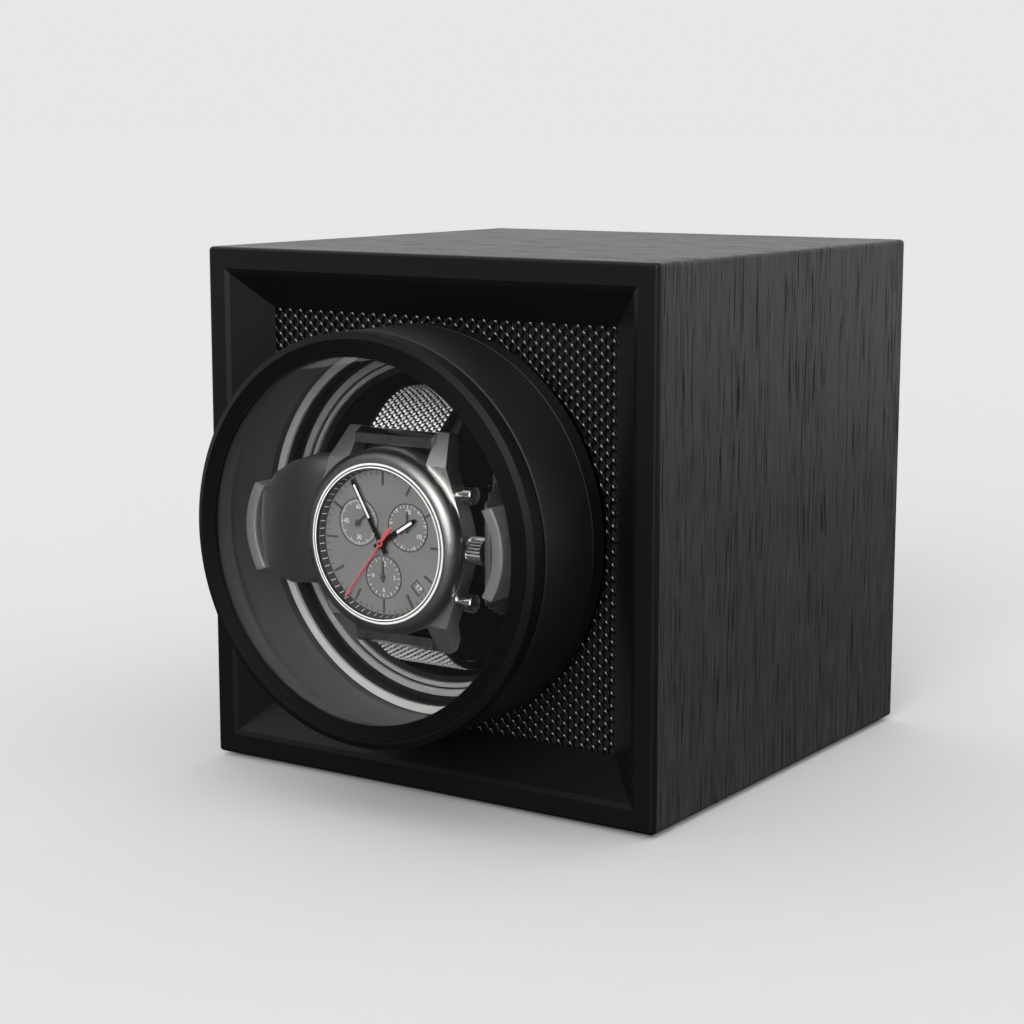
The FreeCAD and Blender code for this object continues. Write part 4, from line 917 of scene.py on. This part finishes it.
# %% Inserts of the hands
def hand_insert(node_name, body, clock_degrees, span_mm, width_mm, height_mm, finish):
    """A raised strip on a hand, from one distance to another."""
    inner_mm, outer_mm = span_mm
    face_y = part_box(node_name)[0].y
    spot = (watch.x, face_y, watch.z + (inner_mm + outer_mm) / 2 * MM)
    strip = plate(width_mm * MM, (outer_mm - inner_mm) * MM, spot)
    forwards(height_mm * MM)
    faces_out()
    pick("edges", lambda at: at.y < face_y - height_mm / 2 * MM)
    bpy.ops.mesh.bevel(offset=height_mm * 0.6 * MM, segments=2, affect="EDGES")
    bpy.ops.mesh.select_all(action="SELECT")
    turned(math.radians(clock_degrees), (watch.x, face_y, watch.z))
    return settle(strip, node_name + "_insert", body, finishes[finish])


hand_insert("hour_hand", "hours", 57.5, (5.0, 9.6), 0.62, 0.05, "white_print")
hand_insert("minute_hand", "minutes", 330.0, (6.0, 14.0), 0.55, 0.05, "white_print")
hand_insert("chrono_hand", "chrono", 217.0, (-4.4, -1.2), 0.95, 0.1, "hand_red")

# %% [markdown]
# The stage is one wide pale floor under an even pale sky, as in a white light tent. Where the floor is as
# bright as the sky, no horizon shows. Its bounce is switched off, as if the box stood on a dark table, so
# that undersides stay black.

# %% Floor
only(None)
stage_size = 60.0
bpy.ops.mesh.primitive_grid_add(x_subdivisions=8, y_subdivisions=8, size=stage_size, location=(0, 0, 0))
paper = bpy.context.object
paper.name = "studio_paper"
finishes["paper"] = grained("pale_studio_paper", ("#e2e2e2", "#e4e4e4"), (0.85, 0.95), 6,
                            sockets={"Specular IOR Level": 0.0})
paper.data.materials.append(finishes["paper"])
paper.visible_diffuse = False
print("stage of", stage_size, "m")

# %% [markdown]
# The light is that of a light tent: a pale surround does most of the work, and one wide soft sun from the
# front draws highlights on the steel. A second, weaker one reaches into the drum, and glossy surfaces don't
# show it. The tent is open where the camera stands, so it is darker there. A sun lights the whole floor
# evenly, which a near lamp can't. What the camera sees directly, or straight through a pane, is an even
# pale tent.

# %% Lamps and surround
def sun_lamp(name, towards, strength, spread):
    """A soft sun in a direction, with its strength in W per square metre and its width in degrees."""
    sun = bpy.data.lights.new(name, "SUN")
    sun.energy = strength
    sun.angle = math.radians(spread)
    holder = bpy.data.objects.new(name, sun)
    holder.rotation_euler = Vector(towards).to_track_quat("Z", "Y").to_euler()
    bpy.context.collection.objects.link(holder)
    return holder


sun_lamp("key_sun", (0.2, -0.91, 0.36), 1.9, 44)
fill = sun_lamp("fill_sun", (0.45, -0.88, 0.12), 1.1, 50)
fill.visible_glossy = False
world = bpy.data.worlds.new("light_tent")
world.use_nodes = True
sky = world.node_tree
heading = node(sky, "TexCoord", {}).outputs["Generated"]
rise = node(sky, "VectorMath", {0: heading, 1: (0, 0.8, 1.0)}, operation="DOT_PRODUCT").outputs["Value"]
closed_side = ramp(sky, rise, -0.35, 0.35, interpolation_type="SMOOTHSTEP")
tent = mixed(sky, closed_side, linear("#5c5c5c"), linear("#eeedec"))


def bounces(tree):
    """How often the light has bounced off a surface, not counting panes that it went through."""
    path = node(tree, "LightPath", {})
    return maths(tree, "ADD", path.outputs["Glossy Depth"], path.outputs["Diffuse Depth"])


straight = maths(sky, "LESS_THAN", bounces(sky), 0.5)
shown = mixed(sky, straight, tent, linear("#e8e7e6"))
sky.links.new(shown, sky.nodes["Background"].inputs["Color"])
bpy.context.scene.world = world
print("two suns and a tent that is open at the front")

# %% [markdown]
# Black gloss shows whatever stands round it. A dark cloth on the floor, in front and close round the box,
# keeps bright paper out of the reflections in the lens and the lacquer. Only light that has bounced off the
# object sees it: for a straight view, also one through the lens, its finish is fully transparent.

# %% Dark cloth for the reflections
cloth_wide, cloth_deep = 1.2, 1.9
cloth_middle = (0.0, -0.35, 0.2 * MM)
cloth = only(plate(cloth_wide, cloth_deep, cloth_middle, tilt=0))
cloth.name = "dark_cloth"
finishes["cloth"] = grained("black_felt", ("#101010", "#1c1c1c"), (0.9, 1.0), 1.5)
tree = finishes["cloth"].node_tree
after_bounce = maths(tree, "GREATER_THAN", bounces(tree), 0.5)
unseen = node(tree, "BsdfTransparent", {}).outputs[0]
felt = tree.nodes["Principled BSDF"].outputs[0]
both = node(tree, "MixShader", {0: after_bounce, 1: unseen, 2: felt}).outputs[0]
tree.links.new(both, tree.nodes["Material Output"].inputs["Surface"])
cloth.data.materials.append(finishes["cloth"])
cloth.visible_camera = False
cloth.visible_diffuse = False
cloth.visible_shadow = False
print("cloth of", [round(part, 2) for part in cloth.dimensions], "m")

# %% [markdown]
# The camera stands where the photograph was taken from: a little above the box, in front and to its right.
# Its lens and place were worked out from the corners of the cube and the circles of the drum.

# %% Camera
camera = bpy.data.cameras.new("photo_camera")
camera.lens = 78.52
camera.sensor_width = 36.0
view = bpy.data.objects.new("photo_camera", camera)
azimuth, elevation, distance = math.radians(33.82), math.radians(9.65), 477.25 * MM
target = Vector((24.436, -48.6, 66.872)) * MM
level = math.cos(elevation)
away = Vector((math.sin(azimuth) * level, -math.cos(azimuth) * level, math.sin(elevation)))
view.location = target + away * distance
view.rotation_euler = (-away).to_track_quat("-Z", "Y").to_euler()
bpy.context.collection.objects.link(view)
bpy.context.scene.camera = view
bpy.context.scene.view_settings.view_transform = "Standard"
print("camera at", [round(part, 3) for part in view.location])

# %% [markdown]
# Last, the view layer is brought up to date.

# %% Finish
bpy.context.view_layer.update()
